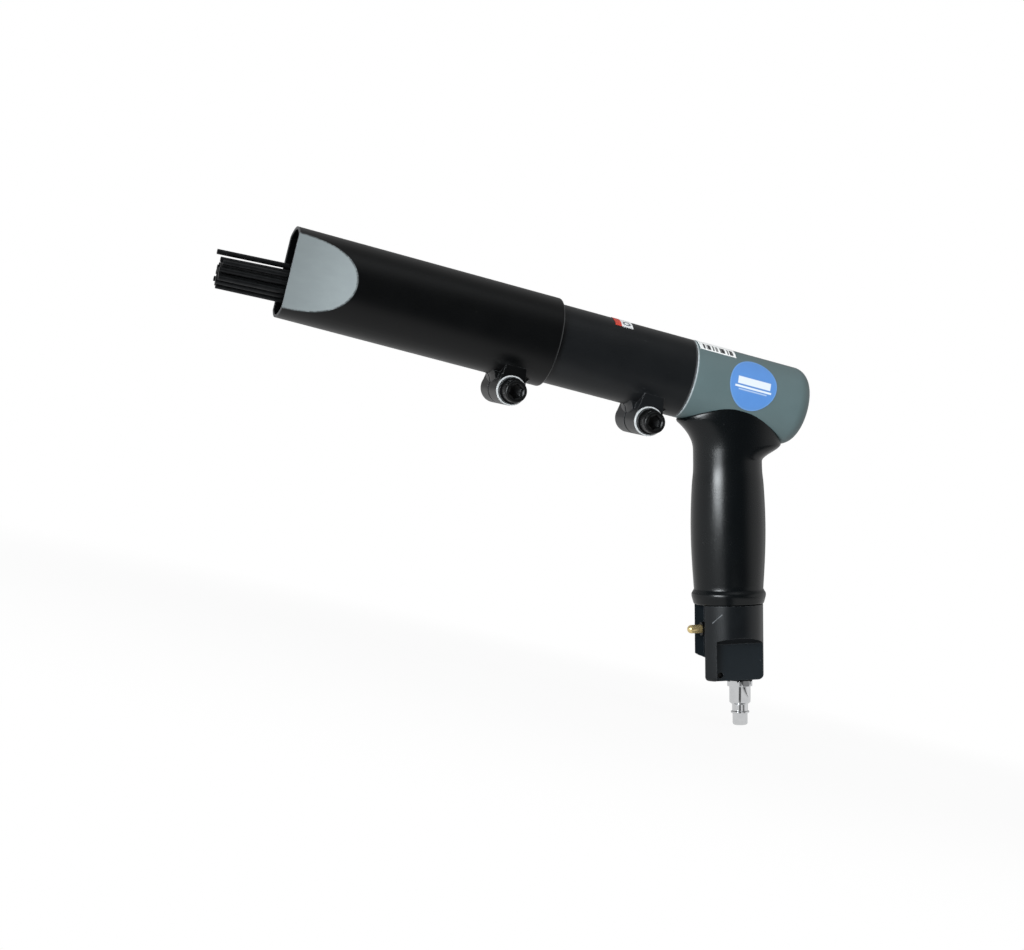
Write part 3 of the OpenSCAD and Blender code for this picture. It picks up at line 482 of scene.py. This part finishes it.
def plated(name, dark, light, rough, edge=0.2, streak=(1.0, 1.0, 1.0), metallic=1.0):
    """Bare or plated metal with fine streaks."""
    f = Finish(name, Metallic=metallic)
    place = f.place()
    cloud = f.noise(place, 0.35)
    lines = f.noise(f.stretched(place, streak), 1.6)
    f.feed("Base Color", f.blend(cloud, dark, light))
    f.feed("Roughness", rough + lines * rough * 0.7)
    f.relief(lines * 0.004, 0.6, edge)
    return f.done()


def seal_rubber():
    """Matt black nitrile."""
    f = Finish("seal_nitrile", Specular_IOR_Level=0.3)
    fine = f.noise(f.place(), 2.5)
    f.feed("Base Color", f.blend(fine, rgb(14, 14, 14), rgb(26, 26, 26)))
    f.feed("Roughness", 0.6 + fine * 0.2)
    f.relief(fine * 0.01, 0.5)
    return f.done()


# Finishes of labels

PRINT_SOFT = 0.3

# Bars on the round label, as middle along and up, half length, half height and soft edge
WIDE_BAND = (0.4, 0.7, 9.2, 2.1, 0.3)
NARROW_BAND = (0.2, -2.6, 10.2, 0.6, 0.2)
THIN_BAND = (0.2, -4.0, 8.0, 0.4, 0.15)
ROUND_LABEL_RIM = (12.35, 12.5)

# The strip label's barred field, in the same way, and how the noise becomes bars
STRIP_FIELD = (0.0, -3.7, 8.9, 2.6, 0.2)
STRIP_BARS = (0.48, 0.51)

# The small label's white part along it, and its ring: middle along and up, radius and half width
SMALL_WHITE = (-1.5, -1.3)
RING_X, RING_UP, RING_R = 1.6, -2.4, 1.7
RING_WIDTH = (0.55, 0.4)


def label_film(name, label):
    """A printed film's base finish, its place, and the distances along and up from the label's middle."""
    f = Finish(name, Specular_IOR_Level=0.45)
    place = f.place()
    f.feed("Roughness", 0.34 + f.noise(place, 0.4) * 0.14)
    f.relief(f.noise(place, 1.2, detail=2.0) * 0.006, 0.5)
    along, turn = LABEL_PLACES[label]
    x, y, z = f.axes(f.shifted(place, tuple(on_barrel(along) / MM)))
    up = math.radians(turn)
    return f, place, x, y * math.sin(up) + z * math.cos(up)


def printed_bar(x, up, bar):
    """1 on a printed bar, 0 past its soft edges."""
    middle_x, middle_up, half_x, half_up, soft = bar
    return (abs(up - middle_up).rise(half_up, half_up - soft)
            * abs(x - middle_x).rise(half_x, half_x - PRINT_SOFT))


def round_label_print():
    """Blue round label with a pale rim and plain white bands."""
    f, place, x, up = label_film("round_label_blue", "round")
    blue = f.blend(f.noise(place, 0.12), rgb(82, 135, 204), rgb(94, 148, 216))
    bands = printed_bar(x, up, WIDE_BAND).math("MAXIMUM", printed_bar(x, up, NARROW_BAND))
    colour = f.blend(bands, blue, rgb(226, 233, 240))
    colour = f.blend(printed_bar(x, up, THIN_BAND) * 0.6, colour, rgb(206, 220, 233))
    rim = (x * x + up * up).math("SQRT").rise(*ROUND_LABEL_RIM)
    f.feed("Base Color", f.blend(rim * 0.2, colour, rgb(150, 184, 220)))
    return f.done()


def strip_label_print():
    """White strip label with plain dark bars."""
    f, _, x, up = label_film("strip_label_white", "strip")
    bars = f.noise(f.add("ShaderNodeCombineXYZ", None, {"X": x}), 0.5, detail=1.0)
    mark = bars.rise(*STRIP_BARS) * printed_bar(x, up, STRIP_FIELD)
    f.feed("Base Color", f.blend(mark, rgb(246, 248, 248), rgb(40, 41, 43)))
    return f.done()


def small_label_print():
    """Small label, red at its front and white behind, with a plain ring."""
    f, _, x, up = label_film("small_label_red_white", "small")
    ring_x, ring_up = x - RING_X, up - RING_UP
    ring = abs((ring_x * ring_x + ring_up * ring_up).math("SQRT") - RING_R).rise(*RING_WIDTH)
    white = x.rise(*SMALL_WHITE)
    colour = f.blend(white, rgb(206, 62, 44), rgb(230, 232, 233))
    f.feed("Base Color", f.blend(ring * white, colour, rgb(96, 104, 112)))
    return f.done()


# Each node's finish

tube_finish = satin_black_tube("barrel_tube_satin_black", [BARREL_REAR, BARREL_FRONT],
                               rgb(18, 20, 22), rgb(24, 26, 28))
nose_finish = satin_black_tube("nose_tube_satin_black", [NOSE_REAR], rgb(4, 5, 6), rgb(7, 8, 9), pressed=True)
paint = head_paint()
moulding = grip_moulding()
anodising = block_anodising()
oxide = black_oxide("screw_black_oxide", worn=0.5)
washer_oxide = black_oxide("lock_washer_black_oxide", worn=0.9)
bush_oxide = black_oxide("bush_black_oxide", worn=0.0, shine=0.12)
zinc = washer_plating()
wire = plated("needle_wire", rgb(12, 13, 15), rgb(48, 50, 52), 0.3, 0.0, (0.05, 2.0, 2.0), metallic=0.6)
ground = plated("ground_steel", rgb(150, 153, 157), rgb(186, 189, 193), 0.24, streak=(0.2, 1.5, 1.5))
spring_wire = plated("spring_wire", rgb(120, 123, 128), rgb(160, 163, 168), 0.26, edge=0.0)
bronze = plated("bush_bronze", rgb(150, 112, 60), rgb(186, 146, 84), 0.3)
brass = plated("throttle_brass", rgb(236, 206, 140), rgb(250, 228, 172), 0.2, metallic=0.8)
chrome = plated("plug_chrome", rgb(226, 228, 230), rgb(246, 247, 248), 0.07)
rubber = seal_rubber()

finish_of = {
    "nose_tube": nose_finish, "barrel_tube": tube_finish, "head_housing": paint,
    "grip_sleeve": moulding, "inlet_block": anodising,
    "front_clamp_screw": oxide, "front_clamp_washer": zinc, "front_lock_washer": washer_oxide,
    "rear_clamp_screw": oxide, "rear_clamp_washer": zinc, "rear_lock_washer": washer_oxide,
    "needles": wire, "needle_holder": ground, "needle_spring": spring_wire,
    "spring_seat_ring": ground, "retaining_ring": oxide, "anvil": ground, "anvil_bush": bronze,
    "cylinder_sleeve": ground, "cylinder_seal": rubber, "piston": ground, "rear_buffer": rubber,
    "valve_seat": ground, "valve_plate": spring_wire, "valve_cover": ground,
    "handle_tube": ground, "handle_seals": rubber, "throttle_pin": brass, "throttle_bush": bush_oxide,
    "tilt_valve": brass, "tilt_valve_seat": rubber, "tilt_valve_spring": spring_wire,
    "inlet_screen": brass, "air_plug": chrome, "plug_seal": rubber, "cross_pin": oxide,
    "round_label": round_label_print(), "strip_label": strip_label_print(),
    "small_label": small_label_print(),
}
for name, finish in finish_of.items():
    nodes[name].data.materials.clear()
    nodes[name].data.materials.append(finish)


# Pieces made here

SHARP_ANGLE = math.radians(32.0)


def piece_from(name, points, faces, finish, body=None, node=None):
    """A mesh piece from points in metres in the frame, riding on a body in place of a CAD node."""
    mesh = bpy.data.meshes.new(name)
    mesh.from_pydata([tuple(p) for p in points], [], faces)
    shape = bmesh.new()
    shape.from_mesh(mesh)
    bmesh.ops.recalc_face_normals(shape, faces=shape.faces)
    shape.to_mesh(mesh)
    shape.free()
    mesh.materials.append(finish)
    made = bpy.data.objects.new(name, mesh)
    bpy.context.scene.collection.objects.link(made)
    if body:
        mesh.shade_smooth()
        mesh.set_sharp_from_angle(angle=SHARP_ANGLE)
        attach(made, body)
        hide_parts(node)
    return made


def looped_faces(ring_count, side_count, joined):
    """Faces between rings of points: joined closes the last ring to the first, or else caps both ends."""
    faces = []
    for i in range(ring_count if joined else ring_count - 1):
        low, high = i * side_count, (i + 1) % ring_count * side_count
        for j in range(side_count):
            k = (j + 1) % side_count
            faces.append((low + j, low + k, high + k, high + j))
    if not joined:
        faces.append(tuple(range(side_count)))
        faces.append(tuple(range((ring_count - 1) * side_count, ring_count * side_count)))
    return faces


def even_turns(sides):
    """Turns in radians, evenly round a circle."""
    return [2 * math.pi * k / sides for k in range(sides)]


def turned_rings(profile, sides):
    """Rings of a turned profile of places along its axis and radii: a radius and a place for each point."""
    return [[(radius, out)] * sides for out, radius in profile]


def hexagon_reach(turn, flats):
    """Distance from a hexagon's middle to its side at a turn in radians."""
    sixth = math.pi / 3
    return flats / 2 / math.cos((turn + sixth / 2) % sixth - sixth / 2)


def clamped(value):
    """A value held between 0 and 1."""
    return max(0.0, min(1.0, value))


def smooth_step(share):
    """A share from 0 to 1 that starts and ends gently."""
    return share * share * (3.0 - 2.0 * share)


# Grip sleeve

SLEEVE_SIDES = 144
LIP_RINGS, BODY_RINGS, FLANGE_RINGS, SADDLE_RINGS, BORE_RINGS = 26, 30, 25, 6, 4

# The share of the body below the neck in which its swell starts
SWELL_EASE = 0.16

# The lip's height as shares of its length and of its full height, and the round of its lower edge
LIP_SHAPE = [(-0.2, 0.0), (0.0, 0.0), (0.12, 0.35), (0.25, 0.85), (0.38, 1.0), (0.52, 0.9), (0.76, 0.5),
             (1.0, 0.1), (1.2, -0.2)]
LIP_ROUND = 0.9

# The rounded rim under the head: places below its upper edge, and how far they are drawn in
RIM_SHAPE = [(1.15, 0.0), (0.8, 0.05), (0.52, 0.17), (0.3, 0.36), (0.14, 0.62), (0.05, 0.95)]

# Where the search for the saddle starts, where that for the rim runs, and their rounds
SADDLE_GUESS, SADDLE_ROUNDS = 20.0, 12
RIM_LOWEST, RIM_HIGHEST, RIM_ROUNDS = 6.0, 40.0, 40


def grip_lip(down):
    """Height of the lip at the grip's lower end, on a smooth curve through its shape."""
    share = (down - LIP_START) / LIP_LEN
    if share <= 0.0:
        return 0.0
    i = max(k for k in range(1, len(LIP_SHAPE) - 2) if LIP_SHAPE[k][0] <= share)
    (x0, y0), (x1, y1), (x2, y2), (x3, y3) = LIP_SHAPE[i - 1:i + 3]
    t = (share - x1) / (x2 - x1)
    leave, arrive = (y2 - y0) / (x2 - x0) * (x2 - x1), (y3 - y1) / (x3 - x1) * (x2 - x1)
    height = (y1 * (1 + 2 * t) * (1 - t) ** 2 + leave * t * (1 - t) ** 2
              + y2 * t * t * (3 - 2 * t) - arrive * t * t * (1 - t))
    return LIP_H * height


def grip_section(turn, down):
    """Point of the grip's skin at a turn round it and a distance down it: across, sideways, down."""
    share = clamped((down - GRIP_NECK_AT) / (LIP_START - GRIP_NECK_AT))
    swell = GRIP_SWELL * math.sin(math.pi * share) * smooth_step(clamped(share / SWELL_EASE))
    half = (GRIP_NECK_DEPTH + GRIP_DEPTH_GAIN * share) / 2 + swell
    lip = grip_lip(down)
    blunt = smooth_step(clamped((FLANGE_REAR_FROM - down) / FLANGE_REAR_RUN))
    front = half + FLANGE_FRONT * clamped((FLANGE_FRONT_FROM - down) / FLANGE_FRONT_RUN) ** 2 + lip
    rear = half + FLANGE_REAR * blunt + lip
    flare = FLANGE_SIDE * clamped((GRIP_NECK_AT - down) / FLANGE_SIDE_RUN) ** 2
    width = half * GRIP_WIDTH_SHARE + flare + lip
    cosine, sine = math.cos(turn), math.sin(turn)
    power = 2.0 / (2.0 + FLANGE_BLUNT * blunt) if cosine > 0.0 else 1.0
    return ((rear if cosine > 0.0 else front) * math.copysign(abs(cosine) ** power, cosine),
            width * math.copysign(abs(sine) ** power, sine), down)


def head_reach(x):
    """Radius of the head at a place along the barrel, with the grip's fit added."""
    past = min(max(x - (HEAD_LEN - HEAD_ROUND), 0.0), HEAD_ROUND)
    return HEAD_R - HEAD_ROUND + math.sqrt(HEAD_ROUND ** 2 - past ** 2) + FIT


def saddle_down(across, y):
    """How far down the grip a line beside its axis leaves the head."""
    sine, cosine = math.sin(GRIP_RAKE), math.cos(GRIP_RAKE)
    down = SADDLE_GUESS
    for _ in range(SADDLE_ROUNDS):
        reach = head_reach(GRIP_SETBACK + across * cosine + down * sine)
        down = (across * sine + math.sqrt(max(reach ** 2 - y ** 2, 0.0))) / cosine
    return down


def grip_top(turn):
    """How far down the grip its skin leaves the head, at a turn round it."""
    low, high = RIM_LOWEST, RIM_HIGHEST
    for _ in range(RIM_ROUNDS):
        middle = (low + high) / 2
        across, y, down = grip_section(turn, middle)
        if down < saddle_down(across, y):
            low = middle
        else:
            high = middle
    return high


def drawn_in(ring, inset):
    """A ring of the grip's points, moved towards the grip's axis."""
    moved = []
    for across, y, down in ring:
        share = 1 - inset / math.hypot(across, y)
        moved.append((across * share, y * share, down))
    return moved


def grip_sleeve_piece(finish):
    """Moulded grip as one closed shell: outer skin with its lip, rounded rim, saddle and bore."""
    turns = even_turns(SLEEVE_SIDES)
    tops = [grip_top(turn) for turn in turns]
    lip_places = [GRIP_END - LIP_LEN * k / LIP_RINGS for k in range(LIP_RINGS + 1)]
    body_places = [LIP_START - (LIP_START - GRIP_NECK_AT) * k / BODY_RINGS for k in range(1, BODY_RINGS + 1)]
    rings = []
    for down in lip_places + body_places:
        end_share = clamped((down - (GRIP_END - LIP_ROUND)) / LIP_ROUND)
        inset = LIP_ROUND * (1 - math.sqrt(1 - end_share ** 2))
        rings.append(drawn_in([grip_section(turn, down) for turn in turns], inset))
    rim_start = RIM_SHAPE[0][0]
    for k in range(1, FLANGE_RINGS + 1):
        share = k / FLANGE_RINGS
        rings.append([grip_section(turn, GRIP_NECK_AT + (top + rim_start - GRIP_NECK_AT) * share)
                      for turn, top in zip(turns, tops)])
    for below, inset in RIM_SHAPE[1:]:
        rings.append(drawn_in([grip_section(turn, top + below) for turn, top in zip(turns, tops)], inset))
    rim = rings[-1]
    for k in range(1, SADDLE_RINGS + 1):
        ring = []
        for across, y, _ in rim:
            share = 1 + ((HANDLE_R + FIT) / math.hypot(across, y) - 1) * k / SADDLE_RINGS
            ring.append((across * share, y * share, saddle_down(across * share, y * share)))
        rings.append(ring)
    saddle_edge = rings[-1]
    for k in range(1, BORE_RINGS + 1):
        rings.append([(across, y, down + (GRIP_END - down) * k / BORE_RINGS)
                      for across, y, down in saddle_edge])
    points = [on_grip(*p) for ring in rings for p in ring]
    faces = looped_faces(len(rings), SLEEVE_SIDES, True)
    return piece_from("grip_sleeve_moulded", points, faces, finish, "tool", "grip_sleeve")


# Clamp screws

SCREW_SIDES = 144
SCREW_TIP_CHAMFER = 0.8
KNURL_DEPTH = 0.16
KNURL_PITCH = 4

# The head's foot: places above its underside, and how far inside the head's radius
HEAD_FOOT = [(0.0, 0.4), (0.25, 0.12)]

# The knurl's ends: places above the underside and below the top, with the share of its depth
KNURL_LOWER = [(0.5, 0.0), (0.7, 1.0)]
KNURL_UPPER = [(1.5, 1.0), (1.3, 0.0)]

# The crown: places below the top, and how far inside the head's radius
HEAD_CROWN = [(1.0, 0.06), (0.35, 0.34), (0.08, 0.7), (0.0, 1.05)]

# The recess: round chamfer, then hexagon with what is added to it, then point of the drill
RECESS_CHAMFER = [(0.0, 4.15), (0.1, 3.95)]
RECESS_HEXAGON = [(0.5, 0.1), (0.8, 0.0), (4.5, 0.0), (4.6, -0.25)]
RECESS_POINT = [(5.3, 0.6)]


def clamp_screw_piece(end, body, finish):
    """Socket head screw with a knurled head, a chamfered rim and a hexagon recess."""
    x, tube_r = SCREW_PLACES[end]
    turns = even_turns(SCREW_SIDES)
    tip, foot = SCREW_END_INSET - 2 * BOSS_HALF, SCREW_UNDER_HEAD
    top = foot + SCREW_HEAD_H
    shank = [(tip, SCREW_R - SCREW_TIP_CHAMFER), (tip + SCREW_TIP_CHAMFER, SCREW_R), (foot, SCREW_R)]
    head_foot = [(foot + above, SCREW_HEAD_R - inset) for above, inset in HEAD_FOOT]
    knurl = [(foot + above, share) for above, share in KNURL_LOWER]
    knurl += [(top - below, share) for below, share in KNURL_UPPER]
    crown = [(top - below, SCREW_HEAD_R - inset) for below, inset in HEAD_CROWN]
    crown += [(top - below, radius) for below, radius in RECESS_CHAMFER]
    rings = turned_rings(shank + head_foot, SCREW_SIDES)
    for out, share in knurl:
        groove = KNURL_DEPTH * share
        rings.append([(SCREW_HEAD_R - groove * (k % KNURL_PITCH < KNURL_PITCH // 2), out)
                      for k in range(SCREW_SIDES)])
    rings += turned_rings(crown, SCREW_SIDES)
    for below, more in RECESS_HEXAGON:
        rings.append([(hexagon_reach(turn, SCREW_SOCKET) + more, top - below) for turn in turns])
    rings += turned_rings([(top - below, radius) for below, radius in RECESS_POINT], SCREW_SIDES)
    points = [on_clamp(x, tube_r, radius * math.cos(turn), radius * math.sin(turn), out)
              for ring in rings for turn, (radius, out) in zip(turns, ring)]
    faces = looped_faces(len(rings), SCREW_SIDES, False)
    return piece_from(end + "_clamp_screw_socket", points, faces, finish,
                      body, end + "_clamp_screw")


# Air plug

PLUG_SIDES = 120
PLUG_CORNER = math.radians(PLUG_HEX_TURN + 30.0)

# Profiles of places below the plug's seal and radii; the hexagon's radii are the most it reaches
PLUG_SHANK = [(-9.5, 4.9), (-9.1, 5.2), (-0.9, 5.2), (0.0, 5.2)]
PLUG_HEXAGON = [(0.0, 6.75), (0.35, 7.3), (2.65, 7.3), (3.0, 6.75)]
PLUG_BODY = [(3.0, 5.75), (3.2, 5.5), (11.3, 5.5), (11.6, 5.4), (12.5, 4.3), (12.7, 4.1), (15.9, 4.1)]
PLUG_CATCH_RING = [(16.2, 4.3), (16.25, 4.6), (16.4, 4.8), (17.0, 4.8), (17.2, 4.6), (17.2, 4.0)]
PLUG_TIP = [(17.4, 3.9), (22.5, 3.9), (23.0, 3.7), (23.35, 3.2), (23.4, 2.9)]
PLUG_BORE = [(23.2, 2.5), (-9.5, 2.5)]


def air_plug_piece(finish):
    """Chrome plug turned in one piece, with a chamfered hexagon, a catch ring and a through bore."""
    turns = even_turns(PLUG_SIDES)
    rings = turned_rings(PLUG_SHANK, PLUG_SIDES)
    for out, most in PLUG_HEXAGON:
        rings.append([(min(hexagon_reach(turn - PLUG_CORNER, PLUG_FLATS), most), out) for turn in turns])
    rings += turned_rings(PLUG_BODY + PLUG_CATCH_RING + PLUG_TIP + PLUG_BORE, PLUG_SIDES)
    points = [on_grip(PLUG_OFFSET + radius * math.cos(turn), radius * math.sin(turn), PLUG_START + out)
              for ring in rings for turn, (radius, out) in zip(turns, ring)]
    faces = looped_faces(len(rings), PLUG_SIDES, True)
    return piece_from("air_plug_turned", points, faces, finish, "tool", "air_plug")


# Springs

COIL_SIDES, COIL_STEPS = 14, 40


def on_needle_spring(first, second, along):
    """Point beside the needle spring's axis, counted back from its front end."""
    return on_barrel(NEEDLE_SPRING_FRONT + along, second, -first)


def on_tilt_spring(first, second, along):
    """Point beside the tilt valve spring's axis, counted up from its foot."""
    return on_grip(first, second, TILT_SPRING_FOOT - along)


def coil_rise(turn, turns, length, wire):
    """Height of a spring's wire after some turns, with a closer turn at each end."""
    end_pitch = (length - wire) / turns * COIL_END_SHARE
    run = length - wire - 2 * end_pitch
    if turn < 1:
        return wire / 2 + turn * end_pitch
    if turn > turns - 1:
        return length - wire / 2 - (turns - turn) * end_pitch
    return wire / 2 + end_pitch + run * (turn - 1) / (turns - 2)


def coil_spring_piece(node, body, finish, place, turns, length, wire, radius):
    """Wound spring on a place function, riding on a body in place of its CAD node, with a mesh of its own."""
    points = []
    for k in range(turns * COIL_STEPS + 1):
        turn = k / COIL_STEPS
        rise = coil_rise(turn, turns, length, wire)
        cosine, sine = math.cos(2 * math.pi * turn), math.sin(2 * math.pi * turn)
        for round_wire in even_turns(COIL_SIDES):
            reach = radius + wire / 2 * math.cos(round_wire)
            points.append(place(reach * cosine, reach * sine, rise + wire / 2 * math.sin(round_wire)))
    faces = looped_faces(turns * COIL_STEPS + 1, COIL_SIDES, False)
    made = piece_from(node + "_coil", points, faces, finish, body, node)
    foot = place(0.0, 0.0, 0.0)
    tuple(place(0.0, 0.0, 1.0) - foot)
    tuple(foot)
    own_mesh(made)


grip_sleeve_piece(moulding)
coil_spring_piece("needle_spring", "barrel", spring_wire, on_needle_spring,
                  turns=6, length=27.25, wire=2.2, radius=15.5)
coil_spring_piece("tilt_valve_spring", "tool", spring_wire, on_tilt_spring,
                  turns=3, length=4.5, wire=0.6, radius=3.7)
clamp_screw_piece("front", "nose", oxide)
clamp_screw_piece("rear", "barrel", oxide)
air_plug_piece(chrome)


# Floor and room, in metres

FLOOR_HALF = 6.0
FLOOR_GAP = 0.0004
FLOOR_GREY = (0.6, 0.6, 0.6)

# How much of the white floor the camera sees under the tool, and what is added far from it
FLOOR_WHITE, FLOOR_WHITE_FAR = 0.93, 0.07
FAR_FROM_TOOL = (0.2, 0.7)

# Darker places on the floor that only reflections show: all of it, its near side and a wedge from the plug
MIRRORED_DARK, MIRRORED_DARKER = 0.35, 0.6
NEAR_SIDE = (0.1, 0.4)
WEDGE_START, WEDGE_LEAN = 0.03, 0.34
WEDGE_SIDE, WEDGE_TIP = (0.3, 0.16), (0.015, 0.03)

# Brightness of the room's sides in reflections, and of its diffuse light at the horizon and overhead
ROOM_LEAST, ROOM_ABOVE, ROOM_BEHIND, ROOM_RIGHT, ROOM_LEFT = 0.05, 0.14, 0.32, 0.65, 0.18
ROOM_LIGHT, ROOM_LIGHT_ABOVE = 0.43, 0.5


def pale_floor():
    """White floor that keeps the tool's shadow, and that is darker in reflections."""
    f = Finish("floor_pale", Base_Color=FLOOR_GREY, Roughness=0.9, Specular_IOR_Level=0.1)
    x, y = f.axes(f.add("ShaderNodeTexCoord", out="Object"))[:2]
    nearer = -1.0 * y
    far = (x * x + y * y).math("SQRT").rise(*FAR_FROM_TOOL)
    seen = (f.ray("Camera") + f.ray("Glossy") + f.ray("Transmission")).math("MINIMUM", 1.0)
    wedge_side = abs((x - WEDGE_START + nearer * WEDGE_LEAN) / nearer).rise(*WEDGE_SIDE)
    darker = nearer.rise(*NEAR_SIDE).math("MAXIMUM", wedge_side * nearer.rise(*WEDGE_TIP))
    mirrored = f.ray("Glossy") * (MIRRORED_DARK + darker * MIRRORED_DARKER)
    glow = f.add("ShaderNodeEmission", None, {"Color": f.blend(mirrored, WHITE, BLACK)})
    white = seen * (FLOOR_WHITE + far * FLOOR_WHITE_FAR)
    f.surface = f.add("ShaderNodeMixShader", None, {0: white, 1: f.surface, 2: glow})
    corners = [(-1, -1), (1, -1), (1, 1), (-1, 1)]
    points = [(FLOOR_HALF * i, FLOOR_HALF * j, cad_low.z - FLOOR_GAP) for i, j in corners]
    piece_from("floor", points, [(0, 1, 2, 3)], f.done())


def white_room():
    """White room that is darker in reflections, most of all on the camera's side."""
    world = bpy.data.worlds.new("white_room")
    bpy.context.scene.world = world
    world.use_nodes = True
    room = Shading(world.node_tree)
    x, y, z = room.axes(room.add("ShaderNodeTexCoord", out="Generated"))
    above, behind = z.rise(0.45, 0.95) * ROOM_ABOVE, y.rise(-0.1, 0.5) * ROOM_BEHIND
    beside = x.rise(0.45, 0.95) * ROOM_RIGHT + x.rise(-0.6, -0.95) * ROOM_LEFT
    shine = (ROOM_LEAST + above.math("MAXIMUM", beside)).math("MAXIMUM", behind)
    seen = room.ray("Camera").math("MAXIMUM", room.ray("Transmission"))
    glossy = room.ray("Glossy")
    plain = 1.0 - seen.math("MAXIMUM", glossy)
    strength = seen + glossy * shine + plain * (ROOM_LIGHT + z.rise(0.0, 1.0) * ROOM_LIGHT_ABOVE)
    glow = room.add("ShaderNodeBackground", None, {"Color": room.blend(strength, BLACK, WHITE)})
    room.add("ShaderNodeOutputWorld", None, {"Surface": glow})


# Lamps and camera

LAMP_COLOUR = (0.92, 0.97, 1.0)

# The photograph's camera: its axes, its place from the head's front face, and its focal length in pixels
CAMERA_RIGHT = (0.9353, -0.2673, 0.2319)
CAMERA_UP = (-0.2341, 0.0241, 0.9719)
CAMERA_PLACE = (-371.417, -1070.964, -114.341)
CAMERA_FOCAL = 2200.0
PHOTO_WIDTH = 1024.0
SENSOR_WIDTH = 36.0


def soft_lamp(name, place, target, width, height, watts, spread):
    """Soft rectangular lamp, aimed at a target and not seen by the camera; its spread is in degrees."""
    lamp = bpy.data.lights.new(name, "AREA")
    lamp.spread = math.radians(spread)
    lamp.shape = "RECTANGLE"
    lamp.size, lamp.size_y, lamp.energy = width, height, watts
    lamp.color = LAMP_COLOUR
    made = bpy.data.objects.new(name, lamp)
    made.location = place
    made.visible_camera = False
    made.rotation_mode = "QUATERNION"
    made.rotation_quaternion = (Vector(target) - Vector(place)).to_track_quat("-Z", "Y")
    bpy.context.scene.collection.objects.link(made)


def photo_camera():
    """Camera at the photograph's angle."""
    right, up = Vector(CAMERA_RIGHT).normalized(), Vector(CAMERA_UP)
    up = (up - right * up.dot(right)).normalized()
    back = right.cross(up)
    data = bpy.data.cameras.new("photo_camera")
    data.sensor_width, data.lens = SENSOR_WIDTH, SENSOR_WIDTH * CAMERA_FOCAL / PHOTO_WIDTH
    data.clip_start, data.clip_end = 0.05, 50.0
    camera = bpy.data.objects.new("photo_camera", data)
    turned = Matrix((right, up, back)).transposed().to_4x4()
    camera.matrix_world = Matrix.Translation(on_barrel(*CAMERA_PLACE)) @ turned
    bpy.context.scene.collection.objects.link(camera)
    bpy.context.scene.camera = camera


pale_floor()
white_room()
soft_lamp("side_softbox", place=(-0.453, -0.394, 0.012), target=(0.05, 0.0, 0.02),
          width=0.32, height=0.2, watts=0.31, spread=42.0)
soft_lamp("top_softbox", place=(-0.3, -0.5, 1.6), target=(0.0, 0.0, 0.0),
          width=1.2, height=1.0, watts=2.0, spread=180.0)
photo_camera()
bpy.context.scene.view_settings.view_transform = "Standard"
